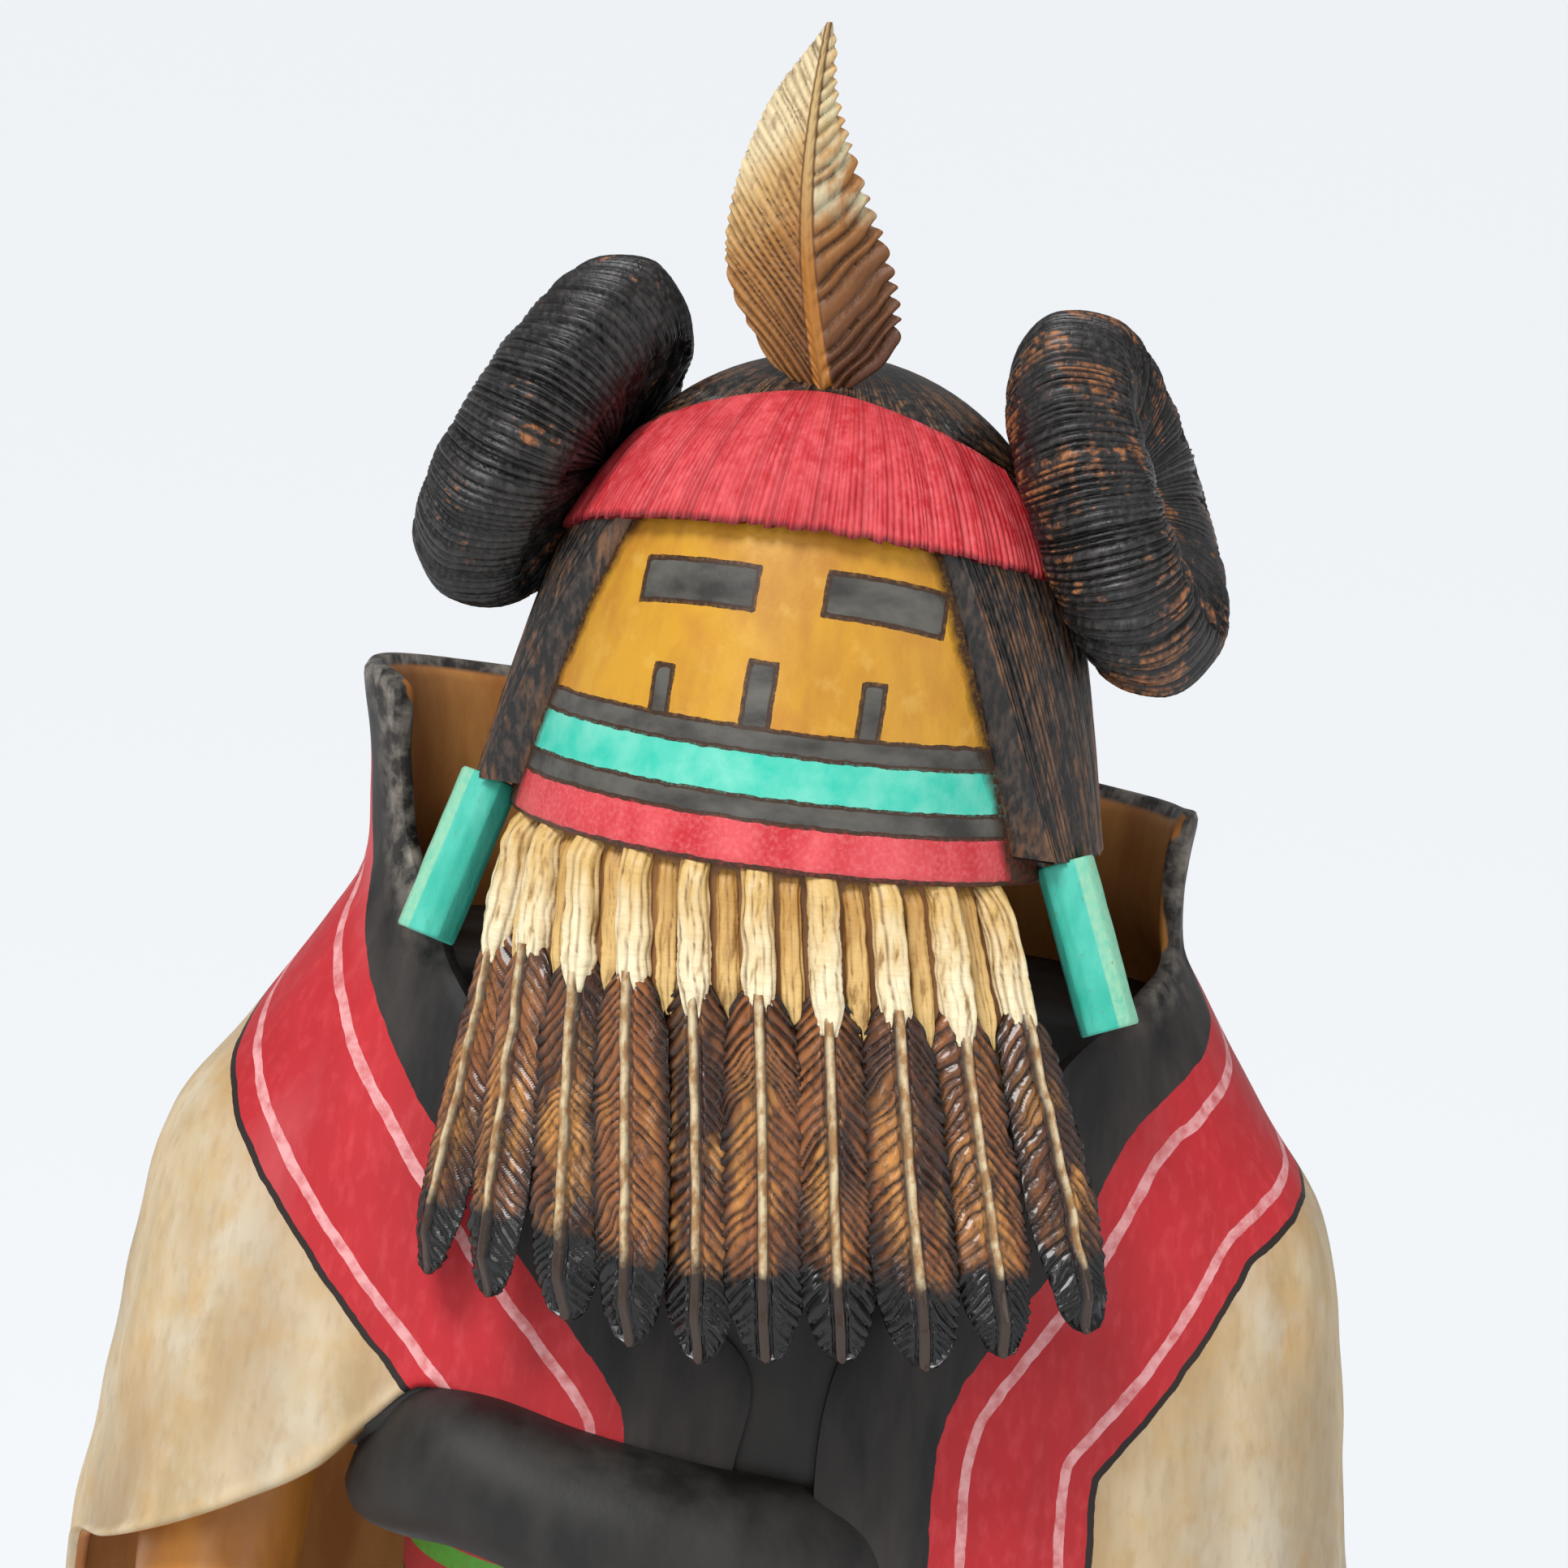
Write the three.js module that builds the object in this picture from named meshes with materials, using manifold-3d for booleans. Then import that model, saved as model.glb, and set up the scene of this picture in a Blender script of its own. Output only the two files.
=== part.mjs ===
// A kachina doll: a carved and painted wooden figure of a maiden in a bordered shawl and dark dress.
// She stands on a round wooden base and wears a case mask with a carved fringe, side locks of hair
// and a beard of feathers. Two hair whorls, a crown feather and two ear pendants are glued on.
// Millimetres, +Z up, facing -Y, with the origin at the centre of the base's underside.
import * as THREE from "three";
import { mergeVertices } from "three/addons/utils/BufferGeometryUtils.js";
import Module from "manifold-3d";

const wasm = await Module();
wasm.setup();

// Driving dimensions.
const base = { radius: 56, thickness: 18, chamfer: 1.5, sides: 32 };
const glue_gap = 0.3; // a glue line, left open between pieces that touch
const figure_height = 275; // soles to crown of the head
const shawl_thickness = 2.4;
const belt_stand = 1.1; // how far the belt stands proud of the dress
const beard = { count: 10, length: 52, quill_length: 14, quill_width: 3.5, vane_width: 9, thickness: 3 };
const whorl = { radius: 21.4, thickness: 14.5, dish_depth: 6, sides: 22 };
const crown_feather = { length: 39.5, width: 18.4, thickness: 2.4 };
const pendant = { length: 18.5, width: 5.8, depth: 4.6, bevel: 1.2 };

// The figure is free form, so its pose and proportions are given in percent of its height.
const percent = figure_height / 100;
const soles = base.thickness + glue_gap;
const level = (share) => soles + share * percent;

// Shawl and body sections: height, half-width, depth in front, depth behind.
const body_middle = 0.7;
const body_squareness = 2.3;
const shawl_rows = [
  [31.5, 27.0, 13.1, 15.0],
  [47.2, 26.9, 13.2, 13.9],
  [53.3, 26.0, 12.8, 13.0],
  [60.6, 25.1, 11.7, 12.4],
  [66.1, 23.8, 10.9, 12.2],
  [70.4, 20.8, 10.5, 11.8],
  [74.8, 18.0, 10.2, 11.3],
  [77.0, 16.8, 10.2, 11.2],
  [80.6, 16.7, 9.8, 12.0],
  [85.3, 17.4, 9.5, 13.2],
];
const dress_rows = [
  [19.5, 14.0, 9.6, 9.6],
  [30.0, 13.3, 9.1, 9.1],
  [40.5, 12.7, 8.8, 8.7],
  [47.9, 12.3, 8.7, 8.3],
  [55.0, 13.0, 9.3, 8.6],
  [58.5, 15.0, 9.8, 9.6],
];

// The shawl's outline, as angle round the body (0 in front, plus to her left) and height. Its long
// top edge makes the front opening and the collar, and its short edges run from the front to the sides.
const opening_right = [[0.7, 56.4], [0.7, 61.0], [-12, 67.2], [-28, 71.9], [-45, 75.5], [-62, 79.2], [-65, 82.8]];
const collar_rim = [[-63, 85.2], [-90, 85.4], [-135, 84.2], [-180, 82.8], [-225, 81.8], [-258, 82.0], [-283, 82.4]];
const opening_left = [[-280, 79.6], [-281, 77.2], [-301, 75.6], [-322, 73.3], [-338, 68.2], [-352, 61.6], [-353, 49.6]];
const short_edge_right = [
  [0.7, 56.4], [-16, 57.4], [-25, 58.4], [-30, 56.8], [-36, 54.4], [-43, 52.8], [-53, 51.0], [-66, 49.4], [-88, 47.6], [-98, 42.6],
];
const short_edge_left = [[-353, 49.6], [-338, 48.8], [-318, 47.8], [-296, 47.2], [-272, 46.6], [-262, 42.4]];
const hem = [[-98, 42.6], [-115, 39.6], [-150, 37.2], [-180, 36.6], [-210, 37.2], [-245, 39.6], [-262, 42.4]];
const arc_per_degree = 0.34; // what a degree round the body counts for along these lines
const fold = { count: 7, depth: 0.7, phase: 20, top: 62, bottom: 38 };

// The dress blouses over the belt in one thick fold: sideways place, depth, height, and radii in depth and height.
const blouse_rows = [
  [-17.0, -6.2, 52.0, 1.6, 1.8],
  [-14.8, -7.8, 53.6, 2.4, 2.6],
  [-12.2, -9.8, 55.2, 3.1, 3.0],
  [-9.4, -11.0, 55.4, 3.4, 3.1],
  [-5.6, -11.7, 54.4, 3.6, 3.3],
  [-1.0, -11.9, 53.2, 3.6, 3.7],
  [3.0, -11.0, 52.3, 3.3, 3.9],
  [6.6, -9.6, 51.6, 2.6, 3.4],
  [9.4, -7.6, 50.8, 1.2, 2.2],
];
const belt = { bottom: 47.6, top: 54.4, front_dip: 1.0 };
const chest = { bottom: 55, top: 74, slope_from: 66, slope: 4.2, tuck: 2.5, tuck_height: 1.5 };
const dress = { hem: 19.5, top: 58, lip: 1.1, lip_height: 1.2, flutes: 9, flute: 0.28, flute_from: 46 };

// Limbs: sideways place, depth, height, and radii across and in depth.
const arm_rows = [
  [18.8, -0.6, 58.5, 3.2, 3.5],
  [20.0, -1.8, 50.0, 3.4, 3.6],
  [19.9, -4.8, 44.5, 3.1, 3.2],
  [18.8, -8.4, 39.5, 2.4, 2.6],
  [18.0, -9.8, 37.0, 2.1, 2.5],
  [17.6, -10.8, 34.8, 2.2, 3.2],
  [17.2, -11.6, 32.0, 2.1, 3.4],
  [17.0, -11.8, 30.2, 1.5, 2.6],
];
const thumb_rows = [
  [16.8, -12.6, 36.0, 0.8, 0.9],
  [15.9, -13.8, 34.2, 0.9, 1.0],
  [15.4, -14.2, 32.2, 0.7, 0.8],
];
const boot_rows = [
  [4.9, -2.2, 0, 3.1, 6.4],
  [4.9, -2.2, 1.9, 3.25, 6.5],
  [4.9, -1.4, 4.2, 3.0, 5.3],
  [4.9, 0.4, 6.9, 2.8, 3.6],
  [4.9, 0.7, 11.5, 3.0, 3.3],
  [4.9, 0.7, 22, 3.5, 3.5],
];

// The head's own frame: origin on its axis at the chin, turned to her right, leaning to her left, chin raised.
const head_pose = { chin: 80.9, forward: 5.1, aside: 0.3, turn: -12, tilt: 1, raise: 3 };
const head = { height: 19.1, chin_radius: 11.1, taper: 0.12, dome: 4.6, hair: 1.6, hair_taper: 0.08, hair_bottom: 1.0 };
const face_edge = { chin: 66, crown: 29, bevel: 3 }; // half-angle of the face between the locks
const fringe = {
  bottom: 12.7, bottom_drop: 1.4, top: 17.8, top_drop: 2.5, skew: 0.3, stand: 1.05, top_stand: 0.5, sunk: 0.8, half_angle: 72,
};
const beard_hang = { spread: 59, flare_front: 0.07, flare_side: 0.27, sway: 0.16, side_rise: 0.08, left_rise: 0.04, facing: 0.58 };
const whorl_seats = [
  { side: -1, angle: 84, height: 12.6, up: 1.13, tilt: 25, sunk: 0.9 },
  { side: 1, angle: 92, height: 12.6, up: 1.13, tilt: 25, sunk: 0.1 },
];
const crown_seat = { forward: 4.35, aside: 0.3, sunk: 0.47, lean: -6.7, bow: 0.055 };
const pendant_seats = [
  { side: -1, angle: 73, radius: 12.0, splay: 13, swing: 14, turn: 25 },
  { side: 1, angle: 76, radius: 12.0, splay: 24, swing: 6, turn: 25 },
];

const rad = THREE.MathUtils.degToRad;
const lerp = THREE.MathUtils.lerp;
const clamp = THREE.MathUtils.clamp;
const vec = (x, y, z) => new THREE.Vector3(x, y, z);

// A smooth curve through rows of numbers, from the first column to the others.
function through(rows) {
  const slope = (i, column) => {
    const a = rows[Math.max(i - 1, 0)];
    const b = rows[Math.min(i + 1, rows.length - 1)];
    return (b[column] - a[column]) / (b[0] - a[0]);
  };
  return (at) => {
    const x = clamp(at, rows[0][0], rows[rows.length - 1][0]);
    const next = rows.findIndex((row) => row[0] >= x);
    const i = Math.max(next - 1, 0);
    const [a, b] = [rows[i], rows[i + 1]];
    const span = b[0] - a[0];
    const f = (x - a[0]) / span;
    const [f2, f3] = [f * f, f * f * f];
    return a.slice(1).map((start, column) => {
      const c = column + 1;
      const [m0, m1] = [slope(i, c) * span, slope(i + 1, c) * span];
      return (2 * f3 - 3 * f2 + 1) * start + (f3 - 2 * f2 + f) * m0 + (3 * f2 - 2 * f3) * b[c] + (f3 - f2) * m1;
    });
  };
}

// The point at a share from 0 to 1 along a line of angles and heights.
function along(points) {
  const reach = [0];
  for (let i = 1; i < points.length; i++) {
    const [da, dh] = [points[i][0] - points[i - 1][0], points[i][1] - points[i - 1][1]];
    reach.push(reach[i - 1] + Math.hypot(da * arc_per_degree, dh));
  }
  return through(points.map((p, i) => [reach[i] / reach[reach.length - 1], ...p]));
}

function geometryOf(points, indices) {
  const geometry = new THREE.BufferGeometry();
  geometry.setAttribute("position", new THREE.Float32BufferAttribute(points.flatMap((p) => [p.x, p.y, p.z]), 3));
  geometry.setIndex(indices);
  return geometry;
}

// A closed skin over rings of equally many points, capped at both ends.
function loft(rings) {
  const count = rings[0].length;
  const points = rings.flat();
  const indices = [];
  const cap = (ring, first, flip) => {
    points.push(ring.reduce((sum, p) => sum.add(p), vec(0, 0, 0)).divideScalar(count));
    for (let i = 0; i < count; i++) {
      const [a, b] = [first + i, first + ((i + 1) % count)];
      indices.push(...(flip ? [b, a] : [a, b]), points.length - 1);
    }
  };
  for (let r = 0; r + 1 < rings.length; r++) {
    for (let i = 0; i < count; i++) {
      const [a, b] = [r * count + i, r * count + ((i + 1) % count)];
      indices.push(a, b, b + count, a, b + count, a + count);
    }
  }
  cap(rings[0], 0, true);
  cap(rings[rings.length - 1], (rings.length - 1) * count, false);
  return geometryOf(points, indices);
}

// A closed slab between two grids of the same size, stitched along its four edges.
function slab(columns, rows, front, back) {
  const points = [];
  const indices = [];
  const width = rows + 1;
  const other = (columns + 1) * width;
  const quad = (a, b, c, d) => indices.push(a, b, c, a, c, d);
  for (const face of [front, back]) {
    for (let c = 0; c <= columns; c++) {
      for (let r = 0; r <= rows; r++) points.push(face(c / columns, r / rows));
    }
  }
  for (let c = 0; c < columns; c++) {
    for (let r = 0; r < rows; r++) {
      const [a, b] = [c * width + r, (c + 1) * width + r];
      quad(a, b, b + 1, a + 1);
      quad(other + a, other + a + 1, other + b + 1, other + b);
    }
    const [low, high] = [c * width, c * width + rows];
    quad(low, other + low, other + low + width, low + width);
    quad(high, high + width, other + high + width, other + high);
  }
  for (let r = 0; r < rows; r++) {
    const end = columns * width + r;
    quad(r, r + 1, other + r + 1, other + r);
    quad(end, other + end, other + end + 1, end + 1);
  }
  return geometryOf(points, indices);
}

// A closed geometry, set in its place, as a solid with its faces pointing out.
function solid(geometry, place = new THREE.Matrix4()) {
  const plain = geometry.clone().applyMatrix4(place);
  plain.deleteAttribute("normal");
  plain.deleteAttribute("uv");
  const merged = mergeVertices(plain, 1e-4);
  const corner = (i) => new THREE.Vector3().fromBufferAttribute(merged.attributes.position, i);
  const triangles = new Uint32Array(merged.index.array);
  let volume = 0;
  for (let i = 0; i < triangles.length; i += 3) {
    volume += corner(triangles[i]).dot(corner(triangles[i + 1]).cross(corner(triangles[i + 2])));
  }
  if (volume < 0) triangles.reverse();
  return new wasm.Manifold(
    new wasm.Mesh({ numProp: 3, vertProperties: merged.attributes.position.array, triVerts: triangles }),
  );
}

const joined = (solids) => solids.reduce((sum, one) => sum.add(one));

function meshOf(name, shape, colour, roughness) {
  const found = shape.getMesh();
  const geometry = new THREE.BufferGeometry();
  geometry.setAttribute("position", new THREE.BufferAttribute(new Float32Array(found.vertProperties), 3));
  geometry.setIndex(new THREE.BufferAttribute(new Uint32Array(found.triVerts), 1));
  geometry.computeVertexNormals();
  const mesh = new THREE.Mesh(geometry, new THREE.MeshStandardMaterial({ color: colour, roughness, metalness: 0 }));
  mesh.name = name;
  return mesh;
}

const ring = (count, point) => Array.from({ length: count }, (_, i) => point((i / count) * 360));
const shawlSection = through(shawl_rows);
const dressSection = through(dress_rows);

// A point on a rounded-square section. The angle runs from the front towards her left.
function sectionPoint(angle, height, [half_width, front, behind], inset = 0) {
  const bend = (value) => Math.sign(value) * Math.abs(value) ** (2 / body_squareness);
  const [s, c] = [bend(Math.sin(rad(angle))), bend(Math.cos(rad(angle)))];
  const depth = c > 0 ? front : behind;
  return vec(s * (half_width * percent - inset), body_middle * percent - c * (depth * percent - inset), level(height));
}

// The shawl's outline is filled between its four edges, as a rectangle of cloth is draped.
const rim = along([...opening_right, ...collar_rim, ...opening_left]);
const hemLine = along(hem);
const rightEdge = along(short_edge_right);
const leftEdge = along(short_edge_left);
function draped(s, t) {
  const [top, bottom, right, left] = [rim(s), hemLine(s), rightEdge(t), leftEdge(t)];
  const [top_right, top_left, bottom_right, bottom_left] = [rim(0), rim(1), hemLine(0), hemLine(1)];
  return [0, 1].map((k) => {
    const corners =
      (1 - s) * ((1 - t) * top_right[k] + t * bottom_right[k]) + s * ((1 - t) * top_left[k] + t * bottom_left[k]);
    return (1 - t) * top[k] + t * bottom[k] + (1 - s) * right[k] + s * left[k] - corners;
  });
}

// Soft vertical folds that deepen towards the hem.
function foldDepth(angle, height) {
  const share = clamp((fold.top - height) / (fold.top - fold.bottom), 0, 1);
  return fold.depth * percent * share * Math.cos(rad(angle * fold.count + fold.phase));
}

function makeShawl() {
  const face = (inset) => (s, t) => {
    const [angle, height] = draped(s, t);
    return sectionPoint(angle, height, shawlSection(height), inset - foldDepth(angle, height));
  };
  return solid(slab(45, 6, face(0), face(shawl_thickness)));
}

// The body that the shawl covers down to the elbows, with the chest sloping back to the neck.
function makeTorso() {
  const { bottom, top, slope_from } = chest;
  const heights = [bottom, bottom + chest.tuck_height, (bottom + slope_from) / 2, slope_from, (slope_from + top) / 2, top];
  const rings = heights.map((height) => {
    const [half_width, front, behind] = shawlSection(height);
    const slope = chest.slope * clamp((height - slope_from) / (top - slope_from), 0, 1) ** 2;
    const tuck = height > bottom ? 0 : chest.tuck;
    const section = [half_width - tuck * 2, front - slope - tuck / 2, behind - tuck];
    return ring(30, (a) => sectionPoint(a, height, section, shawl_thickness / 2));
  });
  return solid(loft(rings));
}

function makeNeck() {
  const rows = [[71, 0.6, 6.2], [77, -1.6, 5.2], [83, -4.6, 5.6]];
  const rings = rows.map(([height, y, radius]) =>
    ring(20, (a) => vec(Math.sin(rad(a)) * radius * percent, (y - Math.cos(rad(a)) * radius) * percent, level(height))));
  return solid(loft(rings));
}

// The dress falls in shallow flutes that deepen towards its hem.
function dressPoint(angle, height, inset = 0) {
  const share = clamp((dress.flute_from - height) / (dress.flute_from - dress.hem), 0, 1);
  const flute = dress.flute * percent * share * Math.cos(rad(angle * dress.flutes));
  return sectionPoint(angle, height, dressSection(height), inset - flute);
}

function makeDress() {
  const { hem, top, lip, lip_height } = dress;
  const under = [hem + lip_height, hem].map((height) => ring(36, (a) => dressPoint(a, height, lip * percent)));
  const outside = [0, 0.27, 0.5, 0.74, 0.87, 1].map((share) => ring(36, (a) => dressPoint(a, lerp(hem, top, share))));
  return solid(loft([...under, ...outside]));
}

function makeBelt() {
  const height = (angle, edge) => belt[edge] - belt.front_dip * (1 + Math.cos(rad(angle))) / 2;
  const corners = [["bottom", 1], ["bottom", -belt_stand], ["top", -belt_stand], ["top", 1]];
  return solid(loft(corners.map(([edge, inset]) => ring(36, (a) => dressPoint(a, height(a, edge), inset)))));
}

function makeBlouse() {
  const at = through(blouse_rows);
  const steps = 12;
  const rings = Array.from({ length: steps + 1 }, (_, i) => {
    const x = lerp(blouse_rows[0][0], blouse_rows[blouse_rows.length - 1][0], i / steps);
    const [y, height, deep, rise] = at(x);
    return ring(12, (a) =>
      vec(x * percent, (y - deep * Math.cos(rad(a))) * percent, level(height + rise * Math.sin(rad(a)))));
  });
  return solid(loft(rings));
}

// A limb along its rows. side is -1 for her right and 1 for her left.
function makeLimb(rows, side, sides) {
  const rings = rows.map(([x, y, height, across, deep]) =>
    ring(sides, (a) =>
      vec(side * (x + across * Math.sin(rad(a))) * percent, (y - deep * Math.cos(rad(a))) * percent, level(height))));
  return solid(loft(rings));
}

const head_frame = new THREE.Matrix4()
  .makeTranslation(head_pose.aside * percent, -head_pose.forward * percent, level(head_pose.chin))
  .multiply(new THREE.Matrix4().makeRotationZ(rad(head_pose.turn)))
  .multiply(new THREE.Matrix4().makeRotationY(rad(head_pose.tilt)))
  .multiply(new THREE.Matrix4().makeRotationX(rad(-head_pose.raise)));
const inHead = (...moves) => moves.reduce((all, one) => all.multiply(one), head_frame.clone());

const onHead = (angle, radius, height) =>
  vec(Math.sin(rad(angle)) * radius * percent, -Math.cos(rad(angle)) * radius * percent, height * percent);

// Radius of the mask: a bell that closes in a dome.
function maskRadius(height) {
  const share = clamp(height / head.height, 0, 1);
  return (head.chin_radius - head.taper * height) * Math.sqrt(Math.max(1 - share ** head.dome, 0));
}
// The dome's height at a distance from the head's axis.
const domeHeight = (radius) =>
  head.height * (1 - (radius / (head.chin_radius - head.taper * head.height)) ** 2) ** (1 / head.dome);
const faceHalfAngle = (height) => lerp(face_edge.chin, face_edge.crown, height / head.height);

// The locks and the back hair stand proud of the mask, behind a sharp edge on each side of the face.
function hairStand(angle, height) {
  const beyond = clamp((Math.abs(angle) - faceHalfAngle(height)) / face_edge.bevel, 0, 1);
  return (head.hair - head.hair_taper * height) * beyond;
}

// The head. Grown, it's what cuts the pieces that are glued to it.
function makeHead(grown = 0) {
  const grow = grown / percent;
  const step = 0.03;
  const hair_bottom = head.hair_bottom - grow;
  const shares = [0.22, 0.38, 0.54, 0.68, 0.79, 0.87, 0.935, 0.98, 0.996];
  const heights = [-grow, hair_bottom - step, hair_bottom + step, ...shares.map((share) => share * head.height)];
  const rings = heights.map((height) => {
    const edge = faceHalfAngle(height);
    const locks = 360 - 2 * (edge + face_edge.bevel);
    const angles = [
      ...Array.from({ length: 10 }, (_, i) => lerp(-edge, edge, i / 9)),
      ...Array.from({ length: 20 }, (_, i) => edge + face_edge.bevel + (locks * i) / 19),
    ];
    return angles.map((angle) => {
      const turned = angle > 180 ? angle - 360 : angle;
      const stand = height > hair_bottom ? hairStand(turned, height) : 0;
      return onHead(turned, maskRadius(height) + stand + grow, height + (height > head.height / 2 ? grow : 0));
    });
  });
  return solid(loft(rings), head_frame);
}

function makeFringe() {
  const face = (stand_bottom, stand_top) => (u, v) => {
    const angle = lerp(-fringe.half_angle, fringe.half_angle, u);
    const place = angle / fringe.half_angle;
    const rise = fringe.skew * place;
    const height = lerp(fringe.bottom - fringe.bottom_drop * place ** 2, fringe.top - fringe.top_drop * place ** 2, v) + rise;
    return onHead(angle, maskRadius(height) + lerp(stand_bottom, stand_top, v), height);
  };
  return solid(slab(22, 4, face(fringe.stand, fringe.top_stand), face(-fringe.sunk, -fringe.sunk)), head_frame);
}

// The beard hangs from the chin as an apron that flares to the sides and swings to her left. Its feathers
// face forward more than the chin does.
function beardPoint(angle, down, across, out) {
  const share = (angle / beard_hang.spread) ** 2;
  const flare = lerp(beard_hang.flare_front, beard_hang.flare_side, share);
  const radius = (head.chin_radius - 0.35) * percent + flare * down + out;
  const [s, c] = [Math.sin(rad(angle)), Math.cos(rad(angle))];
  const facing = rad(angle * beard_hang.facing);
  return vec(
    s * radius + Math.cos(facing) * across + beard_hang.sway * down,
    Math.sin(facing) * across - c * radius,
    -down,
  );
}

// A feather of the beard: a squared quill, then a vane with a raised shaft and a round tip.
function makeBeardFeather(index) {
  const place = (2 * index) / (beard.count - 1) - 1;
  const uneven = 0.03 * Math.abs(Math.sin(index * 2.3));
  const rise = beard_hang.side_rise * place ** 2 + beard_hang.left_rise * place + uneven;
  const length = beard.length * (1 - rise);
  const vane_length = length - beard.quill_length;
  const section = [[-1, 0], [-0.5, 0.75], [0, 1], [0.5, 0.75], [1, 0], [0.5, -1], [-0.5, -1]];
  const quill_rows = [-0.1, 1].map((share) => [share * beard.quill_length, beard.quill_width, 1]);
  const vane_rows = [[0.12, 0.84, 1], [0.4, 1, 1], [0.68, 1, 1], [0.86, 0.8, 0.8], [0.95, 0.5, 0.65], [1, 0.15, 0.4]].map(
    ([share, width, thick]) => [beard.quill_length + share * vane_length, width * beard.vane_width, thick]);
  const rings = [...quill_rows, ...vane_rows].map(([down, width, thick]) =>
    section.map(([across, out]) =>
      beardPoint(place * beard_hang.spread, down, (across * width) / 2, (out * thick * beard.thickness) / 2)));
  return solid(loft(rings), head_frame);
}

function makeBeard() {
  const feathers = Array.from({ length: beard.count }, (_, i) => makeBeardFeather(i));
  const reach = beard_hang.spread + 3;
  const wall = (out) => (u, v) => beardPoint(lerp(-reach, reach, u), lerp(-0.04, 0.4, v) * beard.length, 0, out);
  return joined([solid(slab(20, 2, wall(-0.4), wall(-2.6)), head_frame), ...feathers]);
}

// A hair whorl: a thick wound disc with a dished outer face, seated on the temple. Its axis is +Z.
function makeWhorl({ side, angle, height, up, tilt, sunk }) {
  const half = whorl.thickness / 2;
  const dish = half - whorl.dish_depth;
  const profile = [
    [0, -half], [0.66, -half], [0.88, -half * 0.76], [1, -half * 0.2], [0.99, half * 0.3], [0.86, half * 0.86],
    [0.68, half], [0.46, lerp(dish, half, 0.7)], [0.2, lerp(dish, half, 0.1)], [0, dish],
  ];
  const lathe = new THREE.LatheGeometry(profile.map(([r, z]) => new THREE.Vector2(r * whorl.radius, z)), whorl.sides);
  const temple = onHead(side * angle, maskRadius(height) + head.hair - head.hair_taper * height, height);
  const place = inHead(
    new THREE.Matrix4().makeTranslation(temple.x, temple.y, temple.z),
    new THREE.Matrix4().makeRotationY(side * rad(90 - tilt)),
    new THREE.Matrix4().makeTranslation(-side * up * percent, 0, half - sunk),
    new THREE.Matrix4().makeRotationX(rad(90)),
  );
  return solid(lathe, place);
}

// The crown feather: share of its length, reach to her right and to her left as shares of its half-width.
const crown_outline = [
  [0, 0.15, 0.2], [0.03, 0.27, 0.3], [0.09, 0.58, 0.8], [0.18, 0.78, 0.98], [0.3, 0.98, 1], [0.42, 1, 0.9],
  [0.58, 0.88, 0.64], [0.73, 0.68, 0.38], [0.83, 0.5, 0.22], [0.95, 0.16, 0.12], [1, 0.03, 0.03],
];
function makeCrownFeather() {
  const { forward, aside, sunk, lean } = crown_seat;
  const half = crown_feather.width / 2;
  const rings = crown_outline.map(([share, right, left]) => {
    const thick = (crown_feather.thickness / 2) * lerp(1, 0.45, share);
    const bow = -crown_seat.bow * crown_feather.length * Math.sin(Math.PI * share);
    const section = [[-right, 0.1], [-right * 0.3, 0.5], [0, 1], [left * 0.3, 0.5], [left, 0.1], [left, -0.3], [0, -0.8], [-right, -0.3]];
    return section.map(([across, out]) =>
      vec(bow + across * half, 0.1 * half * Math.abs(across) - out * thick, share * crown_feather.length));
  });
  const place = inHead(
    new THREE.Matrix4().makeTranslation(aside * percent, -forward * percent, (domeHeight(forward) - sunk) * percent),
    new THREE.Matrix4().makeRotationY(rad(lean)),
  );
  return solid(loft(rings), place);
}

// An ear pendant: a bevelled bar that hangs from a side lock's lower end.
function makePendant({ side, angle, radius, splay, swing, turn }) {
  const { width, depth, bevel, length } = pendant;
  const shape = new THREE.Shape([
    new THREE.Vector2(-width / 2 + bevel, -depth / 2),
    new THREE.Vector2(width / 2 - bevel, -depth / 2),
    new THREE.Vector2(width / 2, -depth / 2 + bevel),
    new THREE.Vector2(width / 2, depth / 2),
    new THREE.Vector2(-width / 2, depth / 2),
    new THREE.Vector2(-width / 2, -depth / 2 + bevel),
  ]);
  const bar = new THREE.ExtrudeGeometry(shape, { depth: length, bevelEnabled: false });
  const top = onHead(side * angle, radius, head.hair_bottom);
  const place = inHead(
    new THREE.Matrix4().makeTranslation(top.x, top.y, top.z),
    new THREE.Matrix4().makeRotationY(-side * rad(splay)),
    new THREE.Matrix4().makeRotationX(-rad(swing)),
    new THREE.Matrix4().makeRotationZ(side * rad(turn)),
    new THREE.Matrix4().makeTranslation(0, 0, -length),
  );
  return solid(bar, place);
}

function makeBase() {
  const { radius, thickness, chamfer, sides } = base;
  const profile = [[0, 0], [radius, 0], [radius, thickness - chamfer], [radius - chamfer, thickness], [0, thickness]];
  const lathe = new THREE.LatheGeometry(profile.map(([r, z]) => new THREE.Vector2(r, z)), sides);
  return solid(lathe.rotateX(Math.PI / 2));
}

function makeFigure() {
  const limbs = [-1, 1].flatMap((side) =>
    [makeLimb(arm_rows, side, 12), makeLimb(thumb_rows, side, 7), makeLimb(boot_rows, side, 16)]);
  const trunk = [makeShawl(), makeTorso(), makeNeck(), makeDress(), makeBelt(), makeBlouse()];
  return joined([...trunk, ...limbs, makeHead(), makeFringe(), makeBeard()]);
}

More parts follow.
